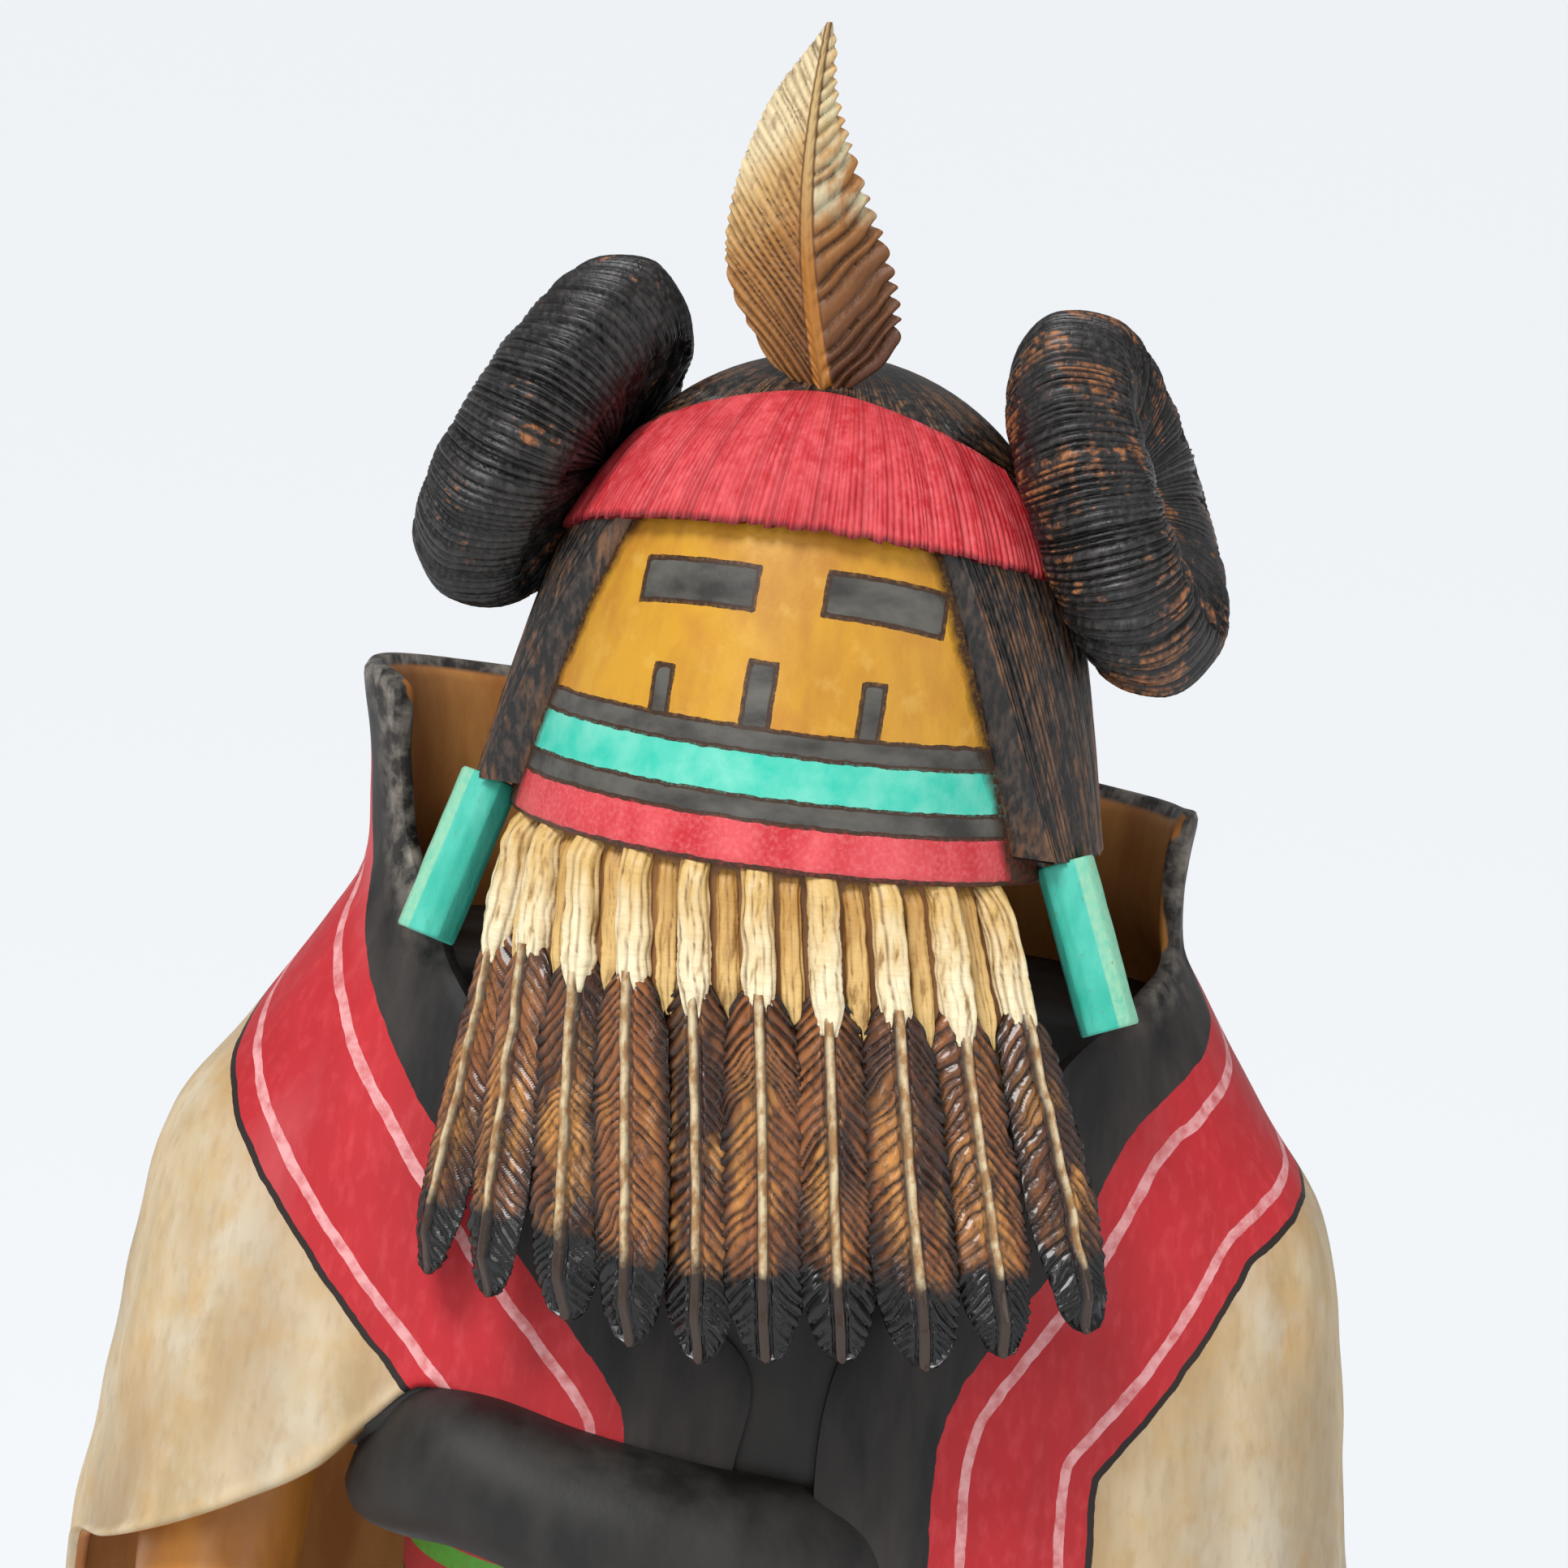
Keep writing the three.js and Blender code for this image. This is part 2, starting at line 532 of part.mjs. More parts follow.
// What is glued to the head is cut to fit it, with the glue gap left open.
const seat = joined([makeHead(glue_gap), makeFringe()]);
const paint = { cloth: 0xd9c79c, hair: 0x2b2523, feather: 0x9a6230, turquoise: 0x2cc4a4, wood: 0xb98a55 };
const doll = new THREE.Group();
doll.name = "kachina_doll";
doll.add(
  meshOf("figure", makeFigure(), paint.cloth, 0.8),
  meshOf("hair_whorl_right", makeWhorl(whorl_seats[0]).subtract(seat), paint.hair, 0.75),
  meshOf("hair_whorl_left", makeWhorl(whorl_seats[1]).subtract(seat), paint.hair, 0.75),
  meshOf("crown_feather", makeCrownFeather().subtract(seat), paint.feather, 0.6),
  meshOf("ear_pendant_right", makePendant(pendant_seats[0]).subtract(seat), paint.turquoise, 0.7),
  meshOf("ear_pendant_left", makePendant(pendant_seats[1]).subtract(seat), paint.turquoise, 0.7),
  meshOf("base", makeBase(), paint.wood, 0.7),
);

export default doll;
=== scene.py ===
# A carved and painted kachina doll. Shapes are worked out in millimetres and in percent of the figure's
# height; the finished meshes are in metres.
import math

import bpy
import numpy as np
from mathutils import Matrix, Vector


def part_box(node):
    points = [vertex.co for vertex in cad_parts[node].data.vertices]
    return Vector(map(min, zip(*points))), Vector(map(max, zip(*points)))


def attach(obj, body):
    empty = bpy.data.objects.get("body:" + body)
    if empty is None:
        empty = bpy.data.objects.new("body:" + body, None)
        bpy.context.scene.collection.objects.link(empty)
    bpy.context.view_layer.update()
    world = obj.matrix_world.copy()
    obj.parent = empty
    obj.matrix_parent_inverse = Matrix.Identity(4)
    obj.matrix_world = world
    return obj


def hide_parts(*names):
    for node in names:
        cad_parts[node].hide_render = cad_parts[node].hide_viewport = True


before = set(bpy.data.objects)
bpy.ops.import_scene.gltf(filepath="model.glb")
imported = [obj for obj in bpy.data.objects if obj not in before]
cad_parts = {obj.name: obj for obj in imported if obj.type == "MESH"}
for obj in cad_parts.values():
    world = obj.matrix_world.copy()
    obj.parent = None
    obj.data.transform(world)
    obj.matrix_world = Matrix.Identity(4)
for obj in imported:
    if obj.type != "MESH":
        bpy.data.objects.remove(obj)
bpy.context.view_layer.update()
MM = 0.001
IMAGE_SIZE = 1932

# The camera stands before the doll, a little above it, and rolls a little.
CAMERA = {"target": (0, -35, 250), "elevation": 10, "roll": 5.5, "distance": 560, "mm_per_pixel": 0.085}
SENSOR = 36


def make_camera():
    lift = math.radians(CAMERA["elevation"])
    back = Vector((0, -math.cos(lift), math.sin(lift)))
    data = bpy.data.cameras.new("camera")
    data.sensor_width = SENSOR
    data.lens = SENSOR * CAMERA["distance"] / CAMERA["mm_per_pixel"] / IMAGE_SIZE
    data.clip_start, data.clip_end = 0.02, 200
    camera = bpy.data.objects.new("camera", data)
    bpy.context.scene.collection.objects.link(camera)
    camera.location = (Vector(CAMERA["target"]) + back * CAMERA["distance"]) * MM
    turn = (-back).to_track_quat("-Z", "Y").to_matrix().to_4x4()
    camera.rotation_euler = (turn @ turned(CAMERA["roll"], "Z")).to_euler()
    bpy.context.scene.camera = camera


# The figure is free form: its pose and proportions are in percent of its height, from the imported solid.
figure_low, figure_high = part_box("figure")
figure_reach = 99.96
soles = figure_low.z / MM
percent = (figure_high.z - figure_low.z) / MM / figure_reach
shawl_thickness = 2.4
belt_stand = 1.1

# The feathers, whorls and pendants, in millimetres; a quill's width is a share of the beard's quill width.
vane = {"twist": 0.14, "layer": 0.7, "shaft": 0.62, "slot": 0.72}
quill = {"width": 0.52, "out": 0.2, "over": 3.5, "under_radius": 1.3, "under_out": -1.0, "under_over": 4}
beard = {"count": 10, "length": 52, "quill_length": 14, "quill_width": 3.5, "vane_width": 9, "thickness": 3}
whorl = {"radius": 21.4, "thickness": 14.5, "dish_depth": 6}
crown_feather = {"length": 39.5, "width": 18.4, "thickness": 2.4}
pendant = {"length": 18.5, "width": 5.8, "depth": 4.6, "bevel": 1.2}

# Shawl and body sections: height, half-width, depth in front, depth behind.
body_middle = 0.7
body_squareness = 2.3
shawl_rows = [
    [31.5, 27.0, 13.1, 15.0],
    [47.2, 26.9, 13.2, 13.9],
    [53.3, 26.0, 12.8, 13.0],
    [60.6, 25.1, 11.7, 12.4],
    [66.1, 23.8, 10.9, 12.2],
    [70.4, 20.8, 10.5, 11.8],
    [74.8, 18.0, 10.2, 11.3],
    [77.0, 16.8, 10.2, 11.2],
    [80.6, 16.7, 9.8, 12.0],
    [85.3, 17.4, 9.5, 13.2],
]
dress_rows = [
    [19.5, 14.0, 9.6, 9.6],
    [30.0, 13.3, 9.1, 9.1],
    [40.5, 12.7, 8.8, 8.7],
    [47.9, 12.3, 8.7, 8.3],
    [55.0, 13.0, 9.3, 8.6],
    [58.5, 15.0, 9.8, 9.6],
]

# The shawl's outline, as angle round the body (0 in front, plus to her left) and height.
opening_right = [[0.7, 56.4], [0.7, 61.0], [-12, 67.2], [-28, 71.9], [-45, 75.5], [-62, 79.2], [-65, 82.8]]
collar_rim = [[-63, 85.2], [-90, 85.4], [-135, 84.2], [-180, 82.8], [-225, 81.8], [-258, 82.0], [-283, 82.4]]
opening_left = [
    [-280, 79.6], [-281, 77.2], [-301, 75.6], [-322, 73.3], [-338, 68.2], [-352, 61.6], [-353, 49.6],
]
short_edge_right = [
    [0.7, 56.4], [-16, 57.4], [-25, 58.4], [-30, 56.8], [-36, 54.4], [-43, 52.8], [-53, 51.0], [-66, 49.4],
    [-88, 47.6], [-98, 42.6],
]
short_edge_left = [[-353, 49.6], [-338, 48.8], [-318, 47.8], [-296, 47.2], [-272, 46.6], [-262, 42.4]]
hem = [[-98, 42.6], [-115, 39.6], [-150, 37.2], [-180, 36.6], [-210, 37.2], [-245, 39.6], [-262, 42.4]]
arc_per_degree = 0.34
fold = {"count": 7, "depth": 0.7, "phase": 20, "top": 62, "bottom": 38}

# The fold of the dress over the belt: sideways place, depth, height, and radii in depth and height.
blouse_rows = [
    [-17.0, -6.2, 52.0, 1.6, 1.8],
    [-14.8, -7.8, 53.6, 2.4, 2.6],
    [-12.2, -9.8, 55.2, 3.1, 3.0],
    [-9.4, -11.0, 55.4, 3.4, 3.1],
    [-5.6, -11.7, 54.4, 3.6, 3.3],
    [-1.0, -11.9, 53.2, 3.6, 3.7],
    [3.0, -11.0, 52.3, 3.3, 3.9],
    [6.6, -9.6, 51.6, 2.6, 3.4],
    [9.4, -7.6, 50.8, 1.2, 2.2],
]
blouse_end = {"cut": 2.2, "length": 3.6}
belt = {"bottom": 47.6, "top": 54.4, "front_dip": 1.0}
chest = {"bottom": 55, "top": 74, "slope_from": 66, "slope": 4.2, "tuck": 2.5}
dress = {"hem": 19.5, "top": 58, "lip": 1.1, "lip_height": 1.2, "flutes": 9, "flute": 0.28, "flute_from": 46}

# The neck: height, depth and radius.
neck_rows = [[71, 0.6, 6.2], [77, -1.6, 5.2], [83, -4.6, 5.6]]

# Limbs: sideways place, depth, height, and radii across and in depth.
arm_rows = [
    [18.8, -0.6, 58.5, 3.2, 3.5],
    [20.0, -1.8, 50.0, 3.4, 3.6],
    [19.9, -4.8, 44.5, 3.1, 3.2],
    [18.8, -8.4, 39.5, 2.4, 2.6],
    [18.0, -9.8, 37.0, 2.1, 2.5],
    [17.6, -10.8, 34.8, 2.2, 3.2],
    [17.2, -11.6, 32.0, 2.1, 3.4],
    [17.0, -11.8, 30.2, 1.5, 2.6],
]
thumb_rows = [[16.8, -12.6, 36.0, 0.8, 0.9], [15.9, -13.8, 34.2, 0.9, 1.0], [15.4, -14.2, 32.2, 0.7, 0.8]]
boot_rows = [
    [4.9, -2.2, 0, 3.1, 6.4],
    [4.9, -2.2, 1.9, 3.25, 6.5],
    [4.9, -1.4, 4.2, 3.0, 5.3],
    [4.9, 0.4, 6.9, 2.8, 3.6],
    [4.9, 0.7, 11.5, 3.0, 3.3],
    [4.9, 0.7, 22, 3.5, 3.5],
]

# The head's own frame and what it carries.
head_pose = {"chin": 80.9, "forward": 5.1, "aside": 0.3, "turn": -12, "tilt": 1, "raise": 3}
head = {"height": 19.1, "chin_radius": 11.1, "taper": 0.12, "dome": 4.6, "crown": 0.9955}
locks = {"stand": 1.6, "taper": 0.08, "bottom": 1.0}
face_edge = {"chin": 66, "crown": 29, "bevel": 3, "half_angle": 78}
dome_hair = {"from": 15.2, "over": 1.6}
fringe = {
    "bottom": 12.7, "bottom_drop": 1.4, "top": 17.8, "top_drop": 2.5, "skew": 0.3, "stand": 1.05,
    "top_stand": 0.5, "sunk": 0.8, "half_angle": 72,
}
beard_hang = {
    "spread": 59, "flare_front": 0.07, "flare_side": 0.27, "sway": 0.16, "side_rise": 0.08, "left_rise": 0.04,
    "facing": 0.58, "overlap": 1.5, "wall_depths": (-0.9, -2.5),
}
whorl_seats = [
    {"side": -1, "angle": 84, "height": 12.6, "up": 1.13, "tilt": 25, "sunk": 0.9},
    {"side": 1, "angle": 92, "height": 12.6, "up": 1.13, "tilt": 25, "sunk": 0.1},
]
crown_seat = {"forward": 4.35, "aside": 0.3, "sunk": 0.47, "lean": -6.7, "bow": 0.055, "short": 0.05}
pendant_seats = [
    {"side": -1, "angle": 73, "radius": 12.0, "splay": 13, "swing": 14, "turn": 25},
    {"side": 1, "angle": 76, "radius": 12.0, "splay": 24, "swing": 6, "turn": 25},
]

# Carved grooves: how far apart the fine and the coarse ones are and how deep, in millimetres. Barbs also
# have a slope across the feather.
hair_cuts = {"fine": 1.35, "coarse": 6.5, "fine_depth": 0.7, "coarse_depth": 0.4}
fringe_cuts = {"fine": 0.62, "coarse": 4.5, "fine_depth": 0.5, "coarse_depth": 0.4, "arc_per_degree": 0.43}
whorl_cuts = {"fine": 1.05, "coarse": 6.5, "round": 132, "lean_depth": 1.4}
beard_barbs = {"apart": 1.35, "slope": 1.1, "depth": 0.8}
crown_barbs = {"steep": 1.3, "steep_slope": 1.5, "broad": 2.1, "broad_slope": 0.85, "jag": (0.6, 2.0)}

# The mask's painted bands, as heights above the chin in millimetres, and the shawl's border bands,
# as distances from its edge.
face_bands = {"red": 5.05, "lower_black": 7.3, "turquoise": 12.0, "upper_black": 14.5}
nose_marks = [(-10.9, -8.8, 19.4), (-0.4, 2.5, 21.2), (11.8, 14.1, 20.3)]
eye_slits = [(-1.0, -14.4, 26.4, 4.4, 0.9), (6.3, 19.6, 26.8, 4.4, 1.2)]
border = {"black": 10, "red": 31, "stripes": (14.2, 27.4), "stripe_width": 1.4, "line": 32}
border_widths = {"collar_black": 8.6, "front_black": 12.5, "red_end": 30}


def along_rows(rows):
    """A smooth curve through rows of numbers, from the first column to the others."""
    rows = np.array(rows, float)
    x, y = rows[:, 0], rows[:, 1:]
    before = np.maximum(np.arange(len(x)) - 1, 0)
    after = np.minimum(np.arange(len(x)) + 1, len(x) - 1)
    slope = (y[after] - y[before]) / (x[after] - x[before])[:, None]

    def at(where):
        where = np.clip(np.asarray(where, float), x[0], x[-1])
        i = np.clip(np.searchsorted(x, where, side="left") - 1, 0, len(x) - 2)
        span = (x[i + 1] - x[i])[..., None]
        f = (where - x[i])[..., None] / span
        return (
            (2 * f**3 - 3 * f**2 + 1) * y[i]
            + (f**3 - 2 * f**2 + f) * slope[i] * span
            + (3 * f**2 - 2 * f**3) * y[i + 1]
            + (f**3 - f**2) * slope[i + 1] * span
        )

    return at


def along_line(points):
    """The point at a share from 0 to 1 along a line of angles and heights."""
    points = np.array(points, float)
    steps = np.diff(points, axis=0) * [arc_per_degree, 1]
    reach = np.concatenate([[0], np.cumsum(np.hypot(steps[:, 0], steps[:, 1]))])
    return along_rows(np.column_stack([reach / reach[-1], points]))


def mixed(a, b, share):
    return a + (b - a) * share


def xyz(x, y, z):
    return np.stack(np.broadcast_arrays(x, y, z), axis=-1).astype(float)


def sin(degrees):
    return np.sin(np.radians(degrees))


def cos(degrees):
    return np.cos(np.radians(degrees))


def level(share):
    return soles + np.asarray(share, float) * percent


def wander(x, y, size, seed):
    """A smooth random field from -1 to 1 whose features are about size wide."""
    random = np.random.default_rng(seed)
    total = 0
    for _ in range(7):
        angle, phase = random.uniform(0, math.tau, 2)
        pitch = size * random.uniform(0.6, 1.7)
        total = total + np.sin((np.cos(angle) * x + np.sin(angle) * y) * math.tau / pitch + phase)
    return total / 4


def cut_lines(x, pitch, seed):
    """Carved grooves at uneven spacing: 0 in a groove's bottom, 1 on the ridge between two."""
    random = np.random.default_rng(seed)
    low, high = float(np.min(x)) - 2 * pitch, float(np.max(x)) + 2 * pitch
    edges = np.cumsum(random.uniform(0.55, 1.45, int((high - low) / pitch / 0.55) + 4)) * pitch + low
    i = np.clip(np.searchsorted(edges, x) - 1, 0, len(edges) - 2)
    share = unit((x - edges[i]) / (edges[i + 1] - edges[i]))
    deep = random.uniform(0.45, 1, len(edges))[i]
    return 1 - deep * (1 - np.sin(np.pi * share) ** 0.7), i


def build(name, points, material, node="figure", slot_name="painted_figure", wrap=False, **fields):
    """A smooth skin over a grid of points in millimetres, with one number field or more per point."""
    points = np.asarray(points, float)
    columns, rows = points.shape[:2]
    index = np.arange(columns * rows).reshape(columns, rows)
    step = np.roll(index, -1, axis=0) if wrap else index[1:]
    here = index if wrap else index[:-1]
    faces = np.stack([here[:, :-1], step[:, :-1], step[:, 1:], here[:, 1:]], axis=-1).reshape(-1, 4)
    corners = points.reshape(-1, 3)
    a, b, c = (corners[faces[:, k]] for k in (0, 1, 2))
    if np.sum(a * np.cross(b, c)) < 0:
        faces = faces[:, ::-1]
    mesh = bpy.data.meshes.new(name)
    mesh.from_pydata(corners * MM, [], faces)
    mesh.polygons.foreach_set("use_smooth", np.ones(len(mesh.polygons), bool))
    for field, values in fields.items():
        values = np.broadcast_to(np.asarray(values, float), (columns, rows)).astype(np.float32)
        mesh.attributes.new(field, "FLOAT", "POINT").data.foreach_set("value", values.ravel())
    mesh.materials.append(material)
    mesh.update()
    piece = bpy.data.objects.new(name, mesh)
    bpy.context.scene.collection.objects.link(piece)
    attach(piece, "root")
    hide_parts(node)
    return piece


def unit(value):
    """A value held between 0 and 1."""
    return np.clip(value, 0, 1)


def turned(degrees, axis):
    return Matrix.Rotation(math.radians(degrees), 4, axis)


def crossed(first, second):
    """Two grids of numbers, one that changes along the columns and one along the rows."""
    return np.meshgrid(first, second, indexing="ij")


def ring_grid(columns, heights):
    return crossed(np.linspace(0, 360, columns, endpoint=False), heights)


def returning(grid, every):
    """The rows of a skin's far side in reverse order, one in so many of them and both ends."""
    count = grid.shape[1]
    keep = np.append(np.arange(0, count - 1, every), count - 1)
    return grid[:, keep[::-1]]


def loop_sides(front, back, every=5):
    """Two grids as one skin that runs over the front, round the edge and back, closed at both ends."""
    both = np.concatenate([front, returning(back, every), front[:, :1]], axis=1)
    middle = (front + back) / 2
    closing = np.concatenate([middle, returning(middle, every), middle[:, :1]], axis=1)
    return np.concatenate([closing[:1], both, closing[-1:]])


def loop_field(front, back, every=5):
    """A number field for the skin that loop_sides makes."""
    both = np.concatenate([front, returning(back, every), front[:, :1]], axis=1)
    return np.concatenate([both[:1], both, both[-1:]])


def loop_fields(every=5, **fields):
    """Number fields that are alike on both sides of such a skin."""
    return {key: loop_field(values, values, every) for key, values in fields.items()}


def closed_ends(points):
    """A tube of rings along its second axis, closed at both ends."""
    first = np.repeat(points[:, :1].mean(0, keepdims=True), len(points), 0)
    last = np.repeat(points[:, -1:].mean(0, keepdims=True), len(points), 0)
    return np.concatenate([first, points, last], axis=1)


def ended(field):
    return np.concatenate([field[:, :1], field, field[:, -1:]], axis=1)


class Paint:
    """A material in the making. Sizes are in millimetres."""

    def __init__(self, name):
        self.material = bpy.data.materials.new(name)
        self.material.use_nodes = True
        self.tree = self.material.node_tree
        self.tree.nodes.clear()
        self.place = self.add("ShaderNodeTexCoord").outputs["Object"]

    def add(self, kind, settings=(), **links):
        node = self.tree.nodes.new(kind)
        for key, value in dict(settings).items():
            setattr(node, key, value)
        for key, value in links.items():
            by_number = key[0] == "_"
            socket = node.inputs[int(key[1:]) if by_number else key.replace("_", " ")]
            if isinstance(value, bpy.types.NodeSocket):
                self.tree.links.new(value, socket)
            else:
                socket.default_value = value
        return node

    def field(self, name):
        return self.add("ShaderNodeAttribute", {"attribute_name": name}).outputs["Fac"]

    def scaled(self, size, stretch):
        scale = Vector(stretch) / (size * MM)
        return self.add("ShaderNodeMapping", Vector=self.place, Scale=scale).outputs[0]

    def noise(self, size, detail=4, stretch=(1, 1, 1), roughness=0.55):
        place = self.scaled(size, stretch)
        made = self.add("ShaderNodeTexNoise", Vector=place, Scale=1.0, Detail=detail, Roughness=roughness)
        return made.outputs["Fac"]

    def sum(self, a, b, scale=1.0):
        return self.add("ShaderNodeMath", {"operation": "MULTIPLY_ADD"}, _0=b, _1=scale, _2=a).outputs[0]

    def times(self, a, b):
        return self.add("ShaderNodeMath", {"operation": "MULTIPLY"}, _0=a, _1=b).outputs[0]

    def between(self, value, low, high, start=0.0, end=1.0):
        made = self.add("ShaderNodeMapRange", {"clamp": True}, Value=value)
        for key, number in (("From Min", low), ("From Max", high), ("To Min", start), ("To Max", end)):
            made.inputs[key].default_value = number
        return made.outputs["Result"]

    def ragged(self, value, size, detail, reach, middle=0.5):
        """A value that noise moves up and down, for an edge that isn't straight."""
        return self.sum(value, self.sum(-middle, self.noise(size, detail)), reach)

    def ramp(self, value, stops, interpolation="LINEAR"):
        node = self.add("ShaderNodeValToRGB", Fac=value)
        ramp = node.color_ramp
        ramp.interpolation = interpolation
        for i, (place, colour) in enumerate(stops):
            stop = ramp.elements[i] if i < 2 else ramp.elements.new(place)
            stop.position = place
            stop.color = (*colour, 1) if isinstance(colour, tuple) else (colour, colour, colour, 1)
        return node.outputs["Color"]

    def mix(self, amount, a, b, blend="MIX"):
        node = self.add("ShaderNodeMix", {"data_type": "RGBA", "blend_type": blend})
        for socket, value in ((node.inputs[0], amount), (node.inputs[6], a), (node.inputs[7], b)):
            if isinstance(value, bpy.types.NodeSocket):
                self.tree.links.new(value, socket)
            else:
                socket.default_value = (*value, 1) if isinstance(value, tuple) else value
        return node.outputs[2]

    def blend(self, a, b, value, low, high, start=0.0, end=1.0):
        """The colour a where the value is low, turning into b where it is high."""
        return self.mix(self.between(value, low, high, start, end), a, b)

    def layers(self, colour, rows):
        """A colour under others. A row is a shade, its greatest share, and a value with its low and high."""
        for shade, most, value, low, high in rows:
            colour = self.blend(colour, shade, value, low, high, 0, most)
        return colour

    def done(self, colour, roughness, bumps, coat=0.0, coat_roughness=0.3, specular=0.5):
        normal = None
        for height, strength, depth in bumps:
            node = self.add("ShaderNodeBump", Height=height, Strength=strength, Distance=depth * MM)
            if normal is not None:
                self.tree.links.new(normal, node.inputs["Normal"])
            normal = node.outputs["Normal"]
        shader = self.add("ShaderNodeBsdfPrincipled", Base_Color=colour, Roughness=roughness)
        shader.inputs["Coat Weight"].default_value = coat
        shader.inputs["Coat Roughness"].default_value = coat_roughness
        shader.inputs["Specular IOR Level"].default_value = specular
        if normal is not None:
            self.tree.links.new(normal, shader.inputs["Normal"])
        self.add("ShaderNodeOutputMaterial", Surface=shader.outputs[0])
        return self.material


OCHRE = (0.60, 0.30, 0.022)
OCHRE_DARK = (0.45, 0.19, 0.018)
CRIMSON = (0.52, 0.02, 0.028)
CRIMSON_LIGHT = (0.72, 0.09, 0.10)
TURQUOISE = (0.03, 0.52, 0.38)
TURQUOISE_PALE = (0.17, 0.62, 0.48)
CHARCOAL = (0.034, 0.032, 0.028)
SOOT = (0.006, 0.0055, 0.0055)
WALNUT = (0.10, 0.042, 0.018)
BURNT_LINE_AND_SHADE = (0.045, 0.018, 0.007)
CREAM = (0.64, 0.51, 0.325)
CREAM_DARK = (0.46, 0.335, 0.18)
STRIPE = (0.76, 0.36, 0.36)
GREEN = (0.09, 0.42, 0.03)


def face_paint():
    """Ochre mask with red, black and turquoise bands below and black marks, each in a thin dark outline, and
    painted shade as a dark line beside the raised hair locks.
    """
    paint = Paint("face_paint")
    top = 60.0
    height = paint.field("height")
    uneven = paint.ragged(height, 1.6, 3, 0.55, 0.28)
    grain = paint.noise(5, 6, (1, 1, 0.35))
    fine = paint.noise(0.5, 4)
    ochre = paint.layers(OCHRE, [
        (OCHRE_DARK, 1, grain, 0.4, 0.7),
        ((0.46, 0.13, 0.03), 0.4, paint.noise(9, 3), 0.56, 0.75),
        ((0.68, 0.40, 0.08), 0.5, paint.noise(3.5, 4), 0.56, 0.72),
    ])
    red = paint.layers(CRIMSON, [
        (CRIMSON_LIGHT, 1, grain, 0.35, 0.7),
        ((0.80, 0.20, 0.21), 0.45, fine, 0.45, 0.75),
    ])
    turquoise = paint.blend(TURQUOISE, TURQUOISE_PALE, paint.noise(4, 5), 0.35, 0.7)
    cloud = paint.noise(4, 4, (0.4, 1, 1))
    black = paint.blend(CHARCOAL, (0.105, 0.10, 0.086), cloud, 0.35, 0.62)
    share = paint.times(uneven, 1 / top)
    edges = [face_bands[key] / top for key in ("red", "lower_black", "turquoise", "upper_black")]
    is_red = paint.ramp(share, [(0, 1.0), (edges[0], 0.0)], "CONSTANT")
    is_turquoise = paint.ramp(share, [(0, 0.0), (edges[1], 1.0), (edges[2], 0.0)], "CONSTANT")
    stops = [(0, 0.0), *zip(edges, (1.0, 0.0, 1.0, 0.0))]
    is_black = paint.ramp(share, stops, "CONSTANT")
    colour = paint.mix(is_red, ochre, red)
    colour = paint.mix(is_turquoise, colour, turquoise)
    colour = paint.mix(is_black, colour, black)
    mark = paint.ragged(paint.field("mark"), 1.1, 3, 0.3)
    colour = paint.blend(colour, black, mark, 0.06, -0.06)
    thin = 0.24 / top
    stops = [(0, 1.0), (0.5 / top, 0.0)]
    for edge in edges:
        stops += [(edge - thin, 1.0), (edge + thin, 0.0)]
    outline = paint.ramp(share, stops, "CONSTANT")
    ring = paint.ramp(paint.between(mark, -0.6, 0.6), [(0, 0.0), (0.26, 1.0), (0.72, 0.0)], "CONSTANT")
    ring = paint.times(ring, paint.between(share, edges[3] - 0.001, edges[3]))
    outline = paint.mix(1.0, outline, ring, "LIGHTEN")
    # Painted shade: a dark line on the face along the edge of the raised hair locks, laid in with the burnt
    # outlines.
    beside = paint.ragged(paint.field("lock"), 3, 4, 2.2)
    outline = paint.mix(1.0, outline, paint.between(beside, 1.9, 0.5), "LIGHTEN")
    colour = paint.mix(paint.times(outline, paint.between(fine, 0.3, 0.55, 0.75, 1.0)), colour, BURNT_LINE_AND_SHADE)
    roughness = paint.between(grain, 0.3, 0.7, 0.36, 0.55)
    bumps = [(outline, 0.8, -0.25), (grain, 0.35, 0.18), (fine, 0.45, 0.1)]
    return paint.done(colour, roughness, bumps, coat=0.08, coat_roughness=0.3, specular=0.35)


def hair_paint(name, wear, stretch, wood, streaks_and_sheen):
    """Black paint over carved hair, rubbed to brown wood on the ridges, with painted shade in the grooves and
    lighter streaks, partly its own and partly painted sheen.
    """
    paint = Paint(name)
    ridge = paint.field("ridge")
    chips = paint.sum(paint.noise(7, 3, stretch), paint.noise(1.0, 5, stretch), 0.8)
    worn = paint.times(paint.between(ridge, 0.6, 0.9), paint.between(chips, 1.12 - wear, 1.22 - wear))
    streak = paint.noise(0.8, 5, (1, 1, 0.4))
    # Lighter streaks over the black: partly the paint's own brownish streaks, partly painted sheen.
    black = paint.blend(SOOT, streaks_and_sheen, streak, 0.45, 0.7)
    # Painted shade: the grooves, where the ridge field is low, go darker than the black paint.
    colour = paint.blend((0.002, 0.0015, 0.0015), black, ridge, 0.12, 0.75)
    brown = paint.blend(WALNUT, wood, streak, 0.4, 0.6)
    colour = paint.mix(paint.times(worn, 0.9), colour, brown)
    bumps = [(streak, 0.6, 0.2)]
    return paint.done(colour, paint.between(streak, 0.3, 0.7, 0.3, 0.55), bumps, specular=0.5)


